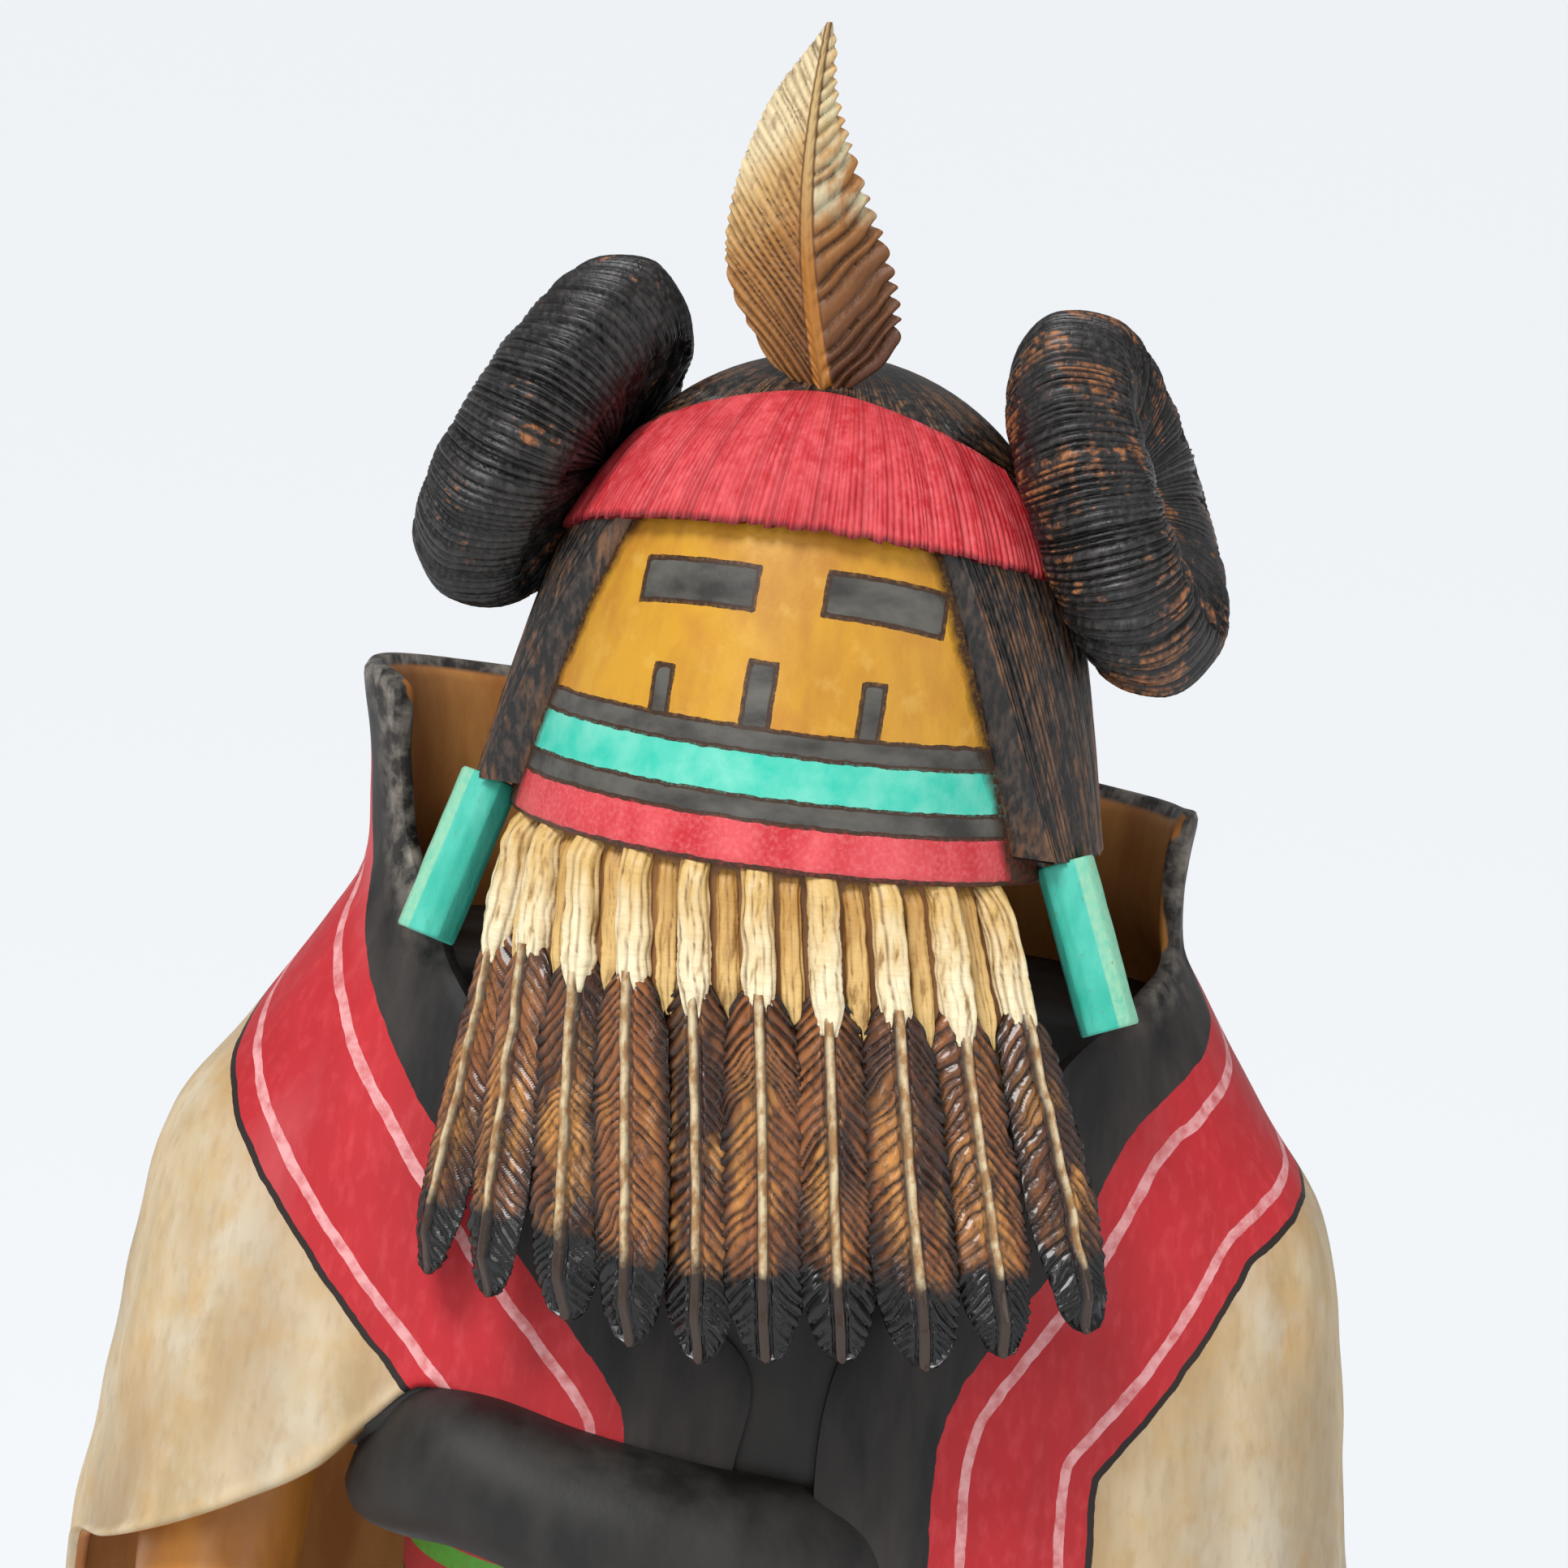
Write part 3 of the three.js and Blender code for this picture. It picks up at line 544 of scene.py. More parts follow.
def fringe_paint():
    paint = Paint("fringe_paint")
    ridge = paint.field("ridge")
    streak = paint.noise(1.5, 5, (1, 1, 0.2))
    red = paint.blend(CRIMSON, CRIMSON_LIGHT, streak, 0.35, 0.7)
    fine = paint.noise(0.6, 4, (1, 1, 0.25))
    red = paint.layers(red, [
        ((0.78, 0.17, 0.18), 0.45, fine, 0.5, 0.75),
        ((0.42, 0.012, 0.018), 0.5, paint.noise(9, 3), 0.42, 0.66),
    ])
    # Painted shade: the red goes dark in the grooves, where the ridge field is low, and darker still along
    # the toothed lower edge, as shadow under the teeth.
    colour = paint.layers((0.27, 0.009, 0.014), [
        (red, 1, ridge, 0.15, 0.65),
        ((0.12, 0.005, 0.008), 0.85, paint.field("tip"), 0.6, 1.0),
    ])
    bumps = [(streak, 0.5, 0.15), (fine, 0.5, 0.1)]
    return paint.done(colour, paint.between(streak, 0.3, 0.7, 0.45, 0.65), bumps, specular=0.35)


def shawl_paint():
    """Cream cloth with a black and crimson border; bare brown wood inside the collar."""
    paint = Paint("shawl_paint")
    top = 40.0
    edge = paint.ragged(paint.field("rim"), 4, 3, 0.9)
    share = paint.times(edge, 1 / top)
    grain = paint.noise(11, 6, (1.3, 1.3, 0.22), 0.6)
    fine = paint.noise(1.3, 5, (1, 1, 0.4))
    cloud = paint.noise(22, 4, (1.2, 1.2, 0.5))
    cream = paint.layers(CREAM_DARK, [
        (CREAM, 1, grain, 0.36, 0.64),
        ((0.58, 0.52, 0.42), 0.55, cloud, 0.48, 0.66),
        ((0.52, 0.29, 0.10), 0.5, paint.noise(16, 4, (1, 1, 0.6)), 0.52, 0.68),
        ((0.58, 0.36, 0.13), 0.45, paint.noise(5, 5), 0.5, 0.68),
        ((0.64, 0.58, 0.46), 0.5, paint.noise(7, 5, (1, 1, 0.6)), 0.52, 0.66),
        ((0.36, 0.24, 0.12), 0.35, fine, 0.5, 0.72),
        # Painted shade: the valleys of the hanging folds, where the crease field is high, go darker brown.
        ((0.30, 0.19, 0.09), 0.6, paint.field("crease"), 0.3, 0.95),
        ((0.44, 0.24, 0.09), 0.4, edge, 38, 32),
    ])
    red = paint.layers((0.42, 0.015, 0.02), [
        (CRIMSON, 1, grain, 0.35, 0.7),
        (CRIMSON_LIGHT, 0.35, fine, 0.5, 0.8),
        ((0.34, 0.010, 0.016), 0.5, cloud, 0.42, 0.66),
        ((0.66, 0.12, 0.13), 0.5, paint.sum(cloud, paint.field("collar"), 0.25), 0.5, 0.75),
    ])
    black = paint.blend(SOOT, (0.055, 0.045, 0.04), grain, 0.4, 0.75)
    worn = paint.times(paint.between(edge, 6.5, 1.0), paint.between(paint.noise(2.2, 6), 0.4, 0.66))
    black = paint.mix(paint.times(worn, paint.field("collar")), black, (0.24, 0.21, 0.175))
    colour = paint.ramp(share, [(0, 0.0), (border["black"] / top, 1.0)], "CONSTANT")
    colour = paint.mix(colour, black, red)
    half = border["stripe_width"] / 2
    stops = [(0, 0.0)]
    for middle in border["stripes"]:
        stops += [((middle - half) / top, 1.0), ((middle + half) / top, 0.0)]
    stripe = paint.ramp(share, stops, "CONSTANT")
    stripe = paint.times(stripe, paint.between(paint.noise(1.6, 5), 0.3, 0.6, 0.3, 0.95))
    colour = paint.mix(stripe, colour, STRIPE)
    stops = [(0, 0.0), (border["red"] / top, 1.0), (border["line"] / top, 0.0)]
    is_line = paint.ramp(share, stops, "CONSTANT")
    is_cream = paint.ramp(share, [(0, 0.0), (border["line"] / top, 1.0)], "CONSTANT")
    colour = paint.mix(is_cream, colour, cream)
    colour = paint.mix(is_line, colour, (0.02, 0.012, 0.01))
    wood = paint.between(paint.noise(9, 6, (1, 1, 0.3)), 0.35, 0.7)
    brown = paint.mix(wood, (0.40, 0.145, 0.032), (0.68, 0.31, 0.085))
    colour = paint.blend(colour, brown, paint.field("inner"), 0.4, 0.6)
    bumps = [(grain, 0.35, 0.5), (fine, 0.35, 0.15), (stripe, 0.3, 0.1)]
    return paint.done(colour, paint.between(grain, 0.3, 0.7, 0.5, 0.72), bumps, specular=0.35)


def vane_paint():
    """A brown feather with amber patches, a pale grooved shaft and a glossy black tip, with painted shade in
    the barb grooves, beside the shaft and at the vane's edges.
    """
    paint = Paint("vane_paint")
    barb, across, down = (paint.field(key) for key in ("barb", "across", "down"))
    patch = paint.sum(paint.noise(6, 5, (1, 1, 0.45)), paint.field("tone"), 0.1)
    fine = paint.noise(1.1, 5, (1, 1, 0.6))
    brown = paint.blend((0.055, 0.019, 0.009), (0.28, 0.096, 0.028), patch, 0.40, 0.60)
    middle = paint.ramp(down, [(0.0, 0.0), (0.22, 0.3), (0.5, 1.0), (0.72, 0.4), (1.0, 0.0)])
    amber = paint.times(paint.between(paint.noise(3.6, 5, (1, 1, 0.4)), 0.48, 0.62), middle)
    amber = paint.times(amber, paint.between(across, 0.85, 0.5))
    brown = paint.mix(paint.times(amber, 0.85), brown, (0.70, 0.31, 0.07))
    brown = paint.blend(brown, (0.02, 0.007, 0.004), fine, 0.5, 0.68, 0, 0.7)
    # Painted shade: the barb grooves, where the barb field is low, go near black.
    brown = paint.blend(paint.mix(0.88, brown, (0.006, 0.003, 0.002)), brown, barb, 0.4, 0.95)
    stem = paint.blend((0.42, 0.22, 0.08), (0.76, 0.60, 0.36), fine, 0.4, 0.6)
    # Painted shade: the vane goes near black towards its outer edges, where the feathers meet.
    brown = paint.blend(brown, (0.006, 0.003, 0.002), across, 0.7, 0.96, 0, 0.92)
    shaft = paint.between(paint.field("off"), 0.62, 0.42)
    colour = paint.mix(shaft, brown, stem)
    # Painted shade: a dark line in the carved groove beside the shaft.
    groove = paint.ramp(paint.field("off"), [(0, 0.0), (0.56, 1.0), (0.8, 0.0)])
    colour = paint.mix(paint.times(groove, 0.75), colour, (0.02, 0.008, 0.004))
    edge = paint.ragged(down, 2.5, 4, 0.2)
    soot = paint.mix(shaft, (0.004, 0.0035, 0.0035), (0.04, 0.022, 0.014))
    colour = paint.blend(colour, soot, edge, 0.72, 0.78)
    bumps = [(fine, 0.7, 0.25), (paint.noise(0.4, 3), 0.6, 0.12)]
    roughness = paint.between(patch, 0.3, 0.7, 0.3, 0.45)
    return paint.done(colour, roughness, bumps, coat=0.45, coat_roughness=0.1, specular=0.25)


def quill_paint(name, light, dark):
    paint = Paint(name)
    down = paint.field("down")
    streak = paint.noise(1.3, 5, (1, 1, 0.22))
    wraps = paint.noise(0.7, 4, (0.35, 0.35, 2.2))
    share = paint.sum(paint.sum(-0.35, down, 0.75), streak, 1.0)
    colour = paint.layers(dark, [
        (light, 1, share, 0.25, 0.75),
        ((0.48, 0.27, 0.08), 0.22, wraps, 0.52, 0.66),
        ((0.22, 0.095, 0.02), 0.8, streak, 0.42, 0.3),
        # Painted shade: the quill's carved grooves, where the groove field is low, go dark brown.
        ((0.17, 0.07, 0.015), 0.8, paint.field("groove"), 0.75, 0.25),
    ])
    return paint.done(colour, 0.45, [(streak, 0.8, 0.3), (wraps, 0.5, 0.15)], coat=0.1, specular=0.4)


def crown_paint():
    """Ivory at the tip, through ochre to dark brown on the lower right, with painted shade in the barb
    grooves.
    """
    paint = Paint("crown_paint")
    barb, up, across = (paint.field(key) for key in ("barb", "up", "across"))
    shade = paint.sum(paint.ragged(up, 6, 4, 0.35), across, -0.22)
    colour = paint.ramp(shade, [
        (0, (0.08, 0.026, 0.009)),
        (0.25, (0.21, 0.08, 0.018)),
        (0.5, (0.40, 0.18, 0.045)),
        (0.68, (0.60, 0.38, 0.15)),
        (0.85, (0.74, 0.60, 0.36)),
    ])
    fine = paint.noise(0.9, 5, (1, 1, 0.5))
    colour = paint.blend(colour, (0.14, 0.05, 0.015), fine, 0.5, 0.72, 0, 0.5)
    # Painted shade: the barb grooves, where the barb field is low, go darker, less so where the feather is
    # pale.
    cut = paint.blend(colour, (0.045, 0.016, 0.005), shade, 0.45, 0.72, 0.9, 0.45)
    colour = paint.blend(cut, colour, barb, 0.35, 0.9)
    pale = paint.ramp(up, [(0.45, 0.0), (0.55, 1.0), (0.8, 1.0), (0.88, 0.0)])
    pale = paint.times(pale, paint.between(across, 0.02, 0.12))
    pale = paint.times(pale, paint.between(paint.noise(3, 4, (1, 1, 0.4)), 0.4, 0.56))
    colour = paint.mix(paint.times(pale, 0.75), colour, (0.60, 0.62, 0.42))
    off = paint.sum(paint.field("off"), up, 0.09)
    stem = paint.blend((0.38, 0.15, 0.025), (0.55, 0.38, 0.16), up, 0.35, 0.7)
    sides = paint.ramp(off, [(0.0, 0.9), (0.03, 0.0), (0.095, 0.0), (0.115, 0.9)])
    stem = paint.mix(sides, stem, (0.10, 0.03, 0.008))
    colour = paint.blend(colour, stem, off, 0.14, 0.12)
    return paint.done(colour, 0.45, [(fine, 0.8, 0.3)], coat=0.06, coat_roughness=0.25, specular=0.3)


def plain_paint(name, light, dark, size, upright, rough, depth, coat):
    """One colour with a darker grain that runs up and down."""
    paint = Paint(name)
    grain = paint.noise(size, 6, (1, 1, upright))
    fine = paint.noise(0.8, 4)
    colour = paint.blend(dark, light, grain, 0.36, 0.68)
    bumps = [(grain, 0.4, depth), (fine, 0.3, 0.06)]
    return paint.done(colour, paint.between(grain, 0.3, 0.7, *rough), bumps, coat=coat, specular=0.4)


def pendant_paint():
    """Turquoise bars with olive speckles; their outer sides are painted paler in a speckled way, as painted
    light on a side that catches it.
    """
    paint = Paint("pendant_paint")
    grain = paint.noise(3, 6, (1, 1, 0.4))
    fine = paint.noise(0.6, 5, (1, 1, 0.5))
    colour = paint.blend((0.03, 0.42, 0.31), (0.09, 0.53, 0.41), grain, 0.36, 0.68)
    speckled = paint.between(fine, 0.3, 0.6, 0.4, 0.9)
    # Painted light: the outer part of each bar is painted paler and speckled, as a side face lit more
    # brightly.
    pale = paint.times(paint.between(paint.field("outer"), 0.08, 0.16), speckled)
    colour = paint.mix(pale, colour, (0.30, 0.58, 0.38))
    colour = paint.blend(colour, (0.16, 0.14, 0.05), fine, 0.64, 0.72, 0, 0.6)
    return paint.done(colour, 0.6, [(grain, 0.4, 0.25), (fine, 0.5, 0.12)], specular=0.4)


def belt_paint():
    paint = Paint("belt_paint")
    share = paint.field("band")
    fine = paint.noise(0.9, 4)
    line = (0.02, 0.015, 0.012)
    edges = (0, 0.12, 0.15, 0.38, 0.52, 0.86, 0.89)
    stops = list(zip(edges, (GREEN, line, CRIMSON, GREEN, CRIMSON, line, GREEN)))
    colour = paint.ramp(share, stops, "CONSTANT")
    colour = paint.blend(colour, (0.2, 0.05, 0.03), fine, 0.4, 0.8, 0, 0.4)
    return paint.done(colour, 0.55, [(fine, 0.5, 0.12)], coat=0.1)


def wood_paint():
    paint = Paint("base_wood")
    rings = paint.scaled(7, (1, 0.16, 1))
    wave = paint.add("ShaderNodeTexWave", {"bands_direction": "X"}, Vector=rings, Distortion=5.0, Detail=4.0)
    wave.inputs["Scale"].default_value = 0.35
    fibre = paint.noise(1.4, 6, (1, 0.06, 1))
    grain = paint.sum(paint.times(wave.outputs["Fac"], 0.6), fibre, 0.4)
    stops = [(0.2, (0.34, 0.16, 0.052)), (0.5, (0.42, 0.21, 0.075)), (0.75, (0.47, 0.25, 0.10))]
    colour = paint.ramp(grain, stops)
    return paint.done(colour, paint.between(fibre, 0.3, 0.7, 0.34, 0.52), [(fibre, 0.4, 0.12)], coat=0.2)


def section_point(angle, height, section, inset=0.0):
    def bend(value):
        return np.sign(value) * np.abs(value) ** (2 / body_squareness)

    s, c = bend(sin(angle)), bend(cos(angle))
    depth = np.where(c > 0, section[..., 1], section[..., 2])
    x = s * (section[..., 0] * percent - inset)
    return xyz(x, body_middle * percent - c * (depth * percent - inset), level(height))


shawl_section = along_rows(shawl_rows)
dress_section = along_rows(dress_rows)
rim_line = along_line([*opening_right, *collar_rim, *opening_left])
hem_line = along_line(hem)
right_line = along_line(short_edge_right)
left_line = along_line(short_edge_left)


def draped(s, t):
    """Angle and height of the shawl at shares s along its rim and t from the rim down to the hem."""
    s, t = s[..., None], t[..., None]
    across = mixed(rim_line(s[..., 0]), hem_line(s[..., 0]), t)
    down = mixed(right_line(t[..., 0]), left_line(t[..., 0]), s)
    corners = mixed(mixed(rim_line(0), hem_line(0), t), mixed(rim_line(1), hem_line(1), t), s)
    return across + down - corners


def fold_depth(angle, height):
    share = unit((fold["top"] - height) / (fold["top"] - fold["bottom"]))
    return fold["depth"] * percent * share * cos(angle * fold["count"] + fold["phase"])


def nearest(points, line):
    """Each point's distance from a line of points."""
    flat = points.reshape(-1, 3)
    best = np.full(len(flat), 1e9)
    for start in range(0, len(line), 40):
        gap = flat[:, None] - line[None, start : start + 40]
        best = np.minimum(best, np.sqrt((gap**2).sum(-1)).min(1))
    return best.reshape(points.shape[:-1])


def border_distance(points, angle, height):
    """How far in the border each point lies, on a scale where each band has the width that border gives."""
    samples, window = 900, 31
    line = draped(np.linspace(0, 1, samples), np.zeros(samples))
    edge = section_point(line[:, 0], line[:, 1], shawl_section(line[:, 1]))
    for _ in range(2):
        padded = np.pad(edge, ((window // 2, window // 2), (0, 0)), mode="edge")
        smooth = [np.convolve(column, np.ones(window) / window, "valid") for column in padded.T]
        edge = np.stack(smooth, axis=-1)
    distance = nearest(points, edge)
    low = unit((77 - height) / 17) * np.where(cos(angle) > 0, 1, 0)
    black = mixed(border_widths["collar_black"], border_widths["front_black"], low)
    in_red = (distance - black) / (border_widths["red_end"] - black)
    red = mixed(border["black"], border["red"], in_red)
    return np.where(distance < black, distance * border["black"] / black, red)


def make_shawl():
    columns, rows, every = 420, 84, 3
    s, t = crossed(np.linspace(0, 1, columns), np.linspace(0, 1, rows) ** 1.1)
    place = draped(s, t)
    angle, height = place[..., 0], place[..., 1]
    section = shawl_section(height)
    lip = np.minimum(np.minimum(t, 1 - t) * 70, np.minimum(s, 1 - s) * 500)
    rounding = 0.55 * unit(1 - lip / 1.0) ** 2
    dents = 0.12 * wander(angle * 0.9, height * percent, 11, 5) * unit(lip / 4)
    soft = np.clip(wander(angle * 0.75, height * percent * 0.22, 13, 6), -1, 1)
    hanging = unit((68 - height) / 10) * unit(lip / 5)
    crease = hanging * (soft + 1) / 2
    folds = fold_depth(angle, height)
    sunk = np.maximum(dents - 0.1, -0.3) + 0.9 * crease + 0.12 - folds
    sunk = np.minimum(sunk, 0.85 + np.clip(chest["bottom"] - 0.5 - height, 0, 4))
    outer = section_point(angle, height, section, sunk + rounding)
    inner = section_point(angle, height, section, shawl_thickness - folds - rounding)
    rim = border_distance(outer, angle, height)
    fields = loop_fields(every, rim=rim, crease=crease, collar=unit((height - 74) / 4))
    fields["inner"] = loop_field(np.zeros_like(rim), unit(rim - 1.2), every)
    build("shawl", loop_sides(outer, inner, every), shawl_paint(), **fields)


def make_torso(material):
    heights = np.linspace(chest["bottom"] + 1.5, chest["top"], 30)
    angle, height = ring_grid(160, np.append(chest["bottom"], heights))
    section = shawl_section(height)
    share = unit((height - chest["slope_from"]) / (chest["top"] - chest["slope_from"]))
    slope = chest["slope"] * share**2
    tuck = np.where(height > chest["bottom"], 0, chest["tuck"])
    section[..., 0] -= tuck * 2
    section[..., 1] -= slope + tuck / 2
    section[..., 2] -= tuck
    points = section_point(angle, height, section, shawl_thickness / 2)
    build("chest", closed_ends(points), material, wrap=True)


def make_neck(material):
    angle, height = ring_grid(60, np.linspace(neck_rows[0][0], neck_rows[-1][0], 14))
    place = along_rows(neck_rows)(height)
    middle, radius = place[..., 0], place[..., 1]
    points = xyz(sin(angle) * radius * percent, (middle - cos(angle) * radius) * percent, level(height))
    build("neck", closed_ends(points), material, wrap=True)


def dress_point(angle, height, inset=0.0):
    share = unit((dress["flute_from"] - height) / (dress["flute_from"] - dress["hem"]))
    flute = dress["flute"] * percent * share * cos(angle * dress["flutes"])
    return section_point(angle, height, dress_section(height), inset - flute)


def make_dress(material):
    lip, hem_height = dress["lip"] * percent, dress["hem"]
    under = [hem_height + dress["lip_height"], hem_height + 0.1, hem_height + 0.02, hem_height]
    heights = np.concatenate([under, np.linspace(hem_height + 0.2, dress["top"], 60)])
    inset = np.concatenate([[lip, lip, lip * 0.6, 0.5], np.zeros(60)])
    angle, height = ring_grid(200, heights)
    points = dress_point(angle, height, inset[None, :])
    build("dress", closed_ends(points), material, wrap=True)


def make_belt():
    share = np.concatenate([[0, 0.0], np.linspace(0.02, 0.98, 16), [1.0, 1]])
    inset = np.concatenate([[1, -belt_stand * 0.7], np.full(16, -belt_stand), [-belt_stand * 0.7, 1]])
    angle, share = ring_grid(240, share)
    dip = belt["front_dip"] * (1 + cos(angle)) / 2
    height = mixed(belt["bottom"], belt["top"], share) - dip
    points = dress_point(angle, height, inset[None, :])
    build("belt", closed_ends(points), belt_paint(), wrap=True, band=ended(share))


def make_blouse(material):
    at = along_rows(blouse_rows)
    x = np.linspace(blouse_rows[0][0] + blouse_end["cut"], blouse_rows[-1][0], 90)
    place = at(x)
    angle, i = ring_grid(48, np.arange(90))
    y, height, deep, rise = (place[i][..., k] for k in range(4))
    near = np.clip((x[i] - x[0]) / blouse_end["length"], 0.002, 1)
    rounded = np.sqrt(near * (2 - near))
    deep, rise = deep * rounded, rise * rounded
    points = xyz(x[i] * percent, (y - deep * cos(angle)) * percent, level(height + rise * sin(angle)))
    build("blouse_fold", closed_ends(points), material, wrap=True)


def limb_points(rows, side, columns, steps):
    rows = np.array(rows, float)
    place = along_rows(np.column_stack([np.linspace(0, 1, len(rows)), rows]))(np.linspace(0, 1, steps))
    angle, i = ring_grid(columns, np.arange(steps))
    x, y, height, across, deep = (place[i][..., k] for k in range(5))
    sideways = side * (x + across * sin(angle))
    forwards = y - deep * cos(angle)
    return xyz(sideways * percent, forwards * percent, level(height))


def make_limbs():
    skin = plain_paint("skin_paint", (0.62, 0.25, 0.04), (0.38, 0.135, 0.022), 7, 0.3, (0.35, 0.55), 0.3, 0.2)
    boot = plain_paint("boot_paint", (0.66, 0.58, 0.42), (0.44, 0.34, 0.2), 7, 0.4, (0.5, 0.7), 0.3, 0.05)
    parts = (
        ("arm", arm_rows, 60, 90, skin),
        ("thumb", thumb_rows, 24, 20, skin),
        ("boot", boot_rows, 72, 70, boot),
    )
    for side, word in ((-1, "right"), (1, "left")):
        for part, rows, columns, steps, material in parts:
            points = limb_points(rows, side, columns, steps)
            build(f"{part}_{word}", closed_ends(points), material, wrap=True)


head_matrix = (
    Matrix.Translation((
        head_pose["aside"] * percent,
        -head_pose["forward"] * percent,
        float(level(head_pose["chin"])),
    ))
    @ turned(head_pose["turn"], "Z")
    @ turned(head_pose["tilt"], "Y")
    @ turned(-head_pose["raise"], "X")
)


def placed(points, matrix=Matrix.Identity(4)):
    full = np.array(head_matrix @ matrix)
    return points @ full[:3, :3].T + full[:3, 3]


def on_head(angle, radius, height):
    return xyz(sin(angle) * radius * percent, -cos(angle) * radius * percent, np.asarray(height) * percent)


def mask_radius(height):
    share = unit(height / head["height"])
    return (head["chin_radius"] - head["taper"] * height) * np.sqrt(np.maximum(1 - share ** head["dome"], 0))


def dome_height(radius):
    share = radius / (head["chin_radius"] - head["taper"] * head["height"])
    return head["height"] * (1 - share**2) ** (1 / head["dome"])


def head_rows(bottom, rows):
    """Heights up the head, closer towards its crown, and a share that draws the last row to a point."""
    v = np.linspace(0, 1, rows - 1)
    top = head["height"] * head["crown"]
    heights = bottom + (top - bottom) * (1 - (1 - v) ** 1.5)
    return np.append(heights, top), np.append(np.ones(rows - 1), 0.0)


def face_half_angle(height):
    return mixed(face_edge["chin"], face_edge["crown"], height / head["height"])


def box_distance(x, y, left, right, low, high):
    """Distance to a box on the face, less than 0 inside it."""
    beside = np.abs(x - (left + right) / 2) - (right - left) / 2
    above = np.abs(y - (low + high) / 2) - (high - low) / 2
    return np.maximum(beside, above)


def make_face():
    columns, rows = 240, 120
    heights, closing = head_rows(0, rows)
    u, height = crossed(np.linspace(-1, 1, columns), heights)
    angle = u * face_edge["half_angle"]
    radius = mask_radius(height) * closing
    arc = np.radians(angle) * radius * percent
    up = height * percent
    dents = 0.07 * wander(arc, up, 7, 3)
    lip = 0.5 * unit(1 - up / 0.8) ** 2
    points = placed(on_head(angle, radius + (dents * closing - lip) / percent, height))
    inner = placed(on_head(angle, radius * 0.9, height * 0.985))
    lock = np.radians(face_half_angle(height) - np.abs(angle)) * radius * percent
    mark = np.full(arc.shape, 99.0)
    for left, right, top in nose_marks:
        mark = np.minimum(mark, box_distance(arc, up, left, right, face_bands["turquoise"], top))
    for inside, outside, low, tall, drop in eye_slits:
        bend = drop * ((arc - inside) / (outside - inside)) ** 2
        left, right = sorted((inside, outside))
        mark = np.minimum(mark, box_distance(arc, up + bend, left, right, low, low + tall))
    fields = loop_fields(height=up, mark=mark, lock=lock)
    build("mask_face", loop_sides(points, inner), face_paint(), **fields)


def hair_stand(height):
    return locks["stand"] - locks["taper"] * height


def make_hair():
    columns, rows = 1240, 38
    share = np.concatenate([np.zeros(4), np.linspace(0, 1, columns - 8), np.ones(4)])
    rise = np.concatenate([np.linspace(0, 1, 5), np.ones(columns - 10), np.linspace(1, 0, 5)])
    heights, closing = head_rows(locks["bottom"], rows)
    share, height = crossed(share, heights)
    rise = rise[:, None]
    above = unit((height - dome_hair["from"]) / dome_hair["over"])
    edge = (face_half_angle(height) + face_edge["bevel"] * rise) * (1 - above)
    angle = mixed(edge, 360 - edge, share)
    swirl = share * 240 + 0.6 * wander(share * 60, height * 0.7, 14, 15)
    ridge, lock = cut_lines(swirl, hair_cuts["fine"], 12)
    coarse, _ = cut_lines(swirl, hair_cuts["coarse"], 13)
    stand = hair_stand(height) * rise
    deep = hair_cuts["fine_depth"] * (1 - ridge) + hair_cuts["coarse_depth"] * (1 - coarse)
    deep = deep * np.clip((head["height"] - height) / 4, 0.15, 1) * rise
    uneven = np.random.default_rng(8).uniform(0, 1, 4000)[lock]
    ends = 0.8 * uneven * unit(1 - (height - locks["bottom"]) / 0.3)
    radius = (mask_radius(height) + stand - deep / percent) * closing
    outer = placed(on_head(angle, radius, height + ends / percent * 0.6))
    inner = placed(on_head(angle, mask_radius(height) * 0.97 * closing, height * 0.995))
    field = ridge * (0.4 + 0.6 * coarse)
    material = hair_paint("hair_paint", 0.26, (1, 1, 0.12), (0.20, 0.09, 0.035), (0.09, 0.058, 0.042))
    build("hair", loop_sides(outer, inner), material, ridge=loop_field(field, field * 0))


def make_fringe():
    columns, rows = 460, 22
    u, v = crossed(np.linspace(-1, 1, columns), np.linspace(0, 1, rows))
    angle = u * fringe["half_angle"]
    strand = angle + 2.5 * (1 - v) * np.sign(u) * np.abs(u)
    run = strand * fringe_cuts["arc_per_degree"]
    ridge, tooth = cut_lines(run, fringe_cuts["fine"], 21)
    long_cut, _ = cut_lines(run, fringe_cuts["coarse"], 22)
    random = np.random.default_rng(4)
    uneven = random.uniform(0, 0.28, 4000)[tooth] * (1 - v) ** 4
    low = fringe["bottom"] - fringe["bottom_drop"] * u**2
    high = fringe["top"] - fringe["top_drop"] * u**2
    height = mixed(low, high, v) + fringe["skew"] * u + uneven * (1 - ridge * 0.4)
    lip = 0.25 * unit(1 - v / 0.08) ** 2
    fine_cut = fringe_cuts["fine_depth"] * (1 - ridge) * mixed(1, 0.4, v)
    coarse_cut = fringe_cuts["coarse_depth"] * (1 - long_cut)
    stand = mixed(fringe["stand"], fringe["top_stand"], v) - (fine_cut + coarse_cut + lip) / percent
    outer = placed(on_head(angle, mask_radius(height) + stand, height))
    inner = placed(on_head(angle, mask_radius(height) - fringe["sunk"], height))
    field = ridge * (0.35 + 0.65 * long_cut)
    # The tip field grows towards the lower edge, where the fringe paint lays its painted shade.
    build("fringe", loop_sides(outer, inner), fringe_paint(),
          ridge=loop_field(field, field * 0), tip=loop_field(1.1 - v * 7, v * 0 + 1))


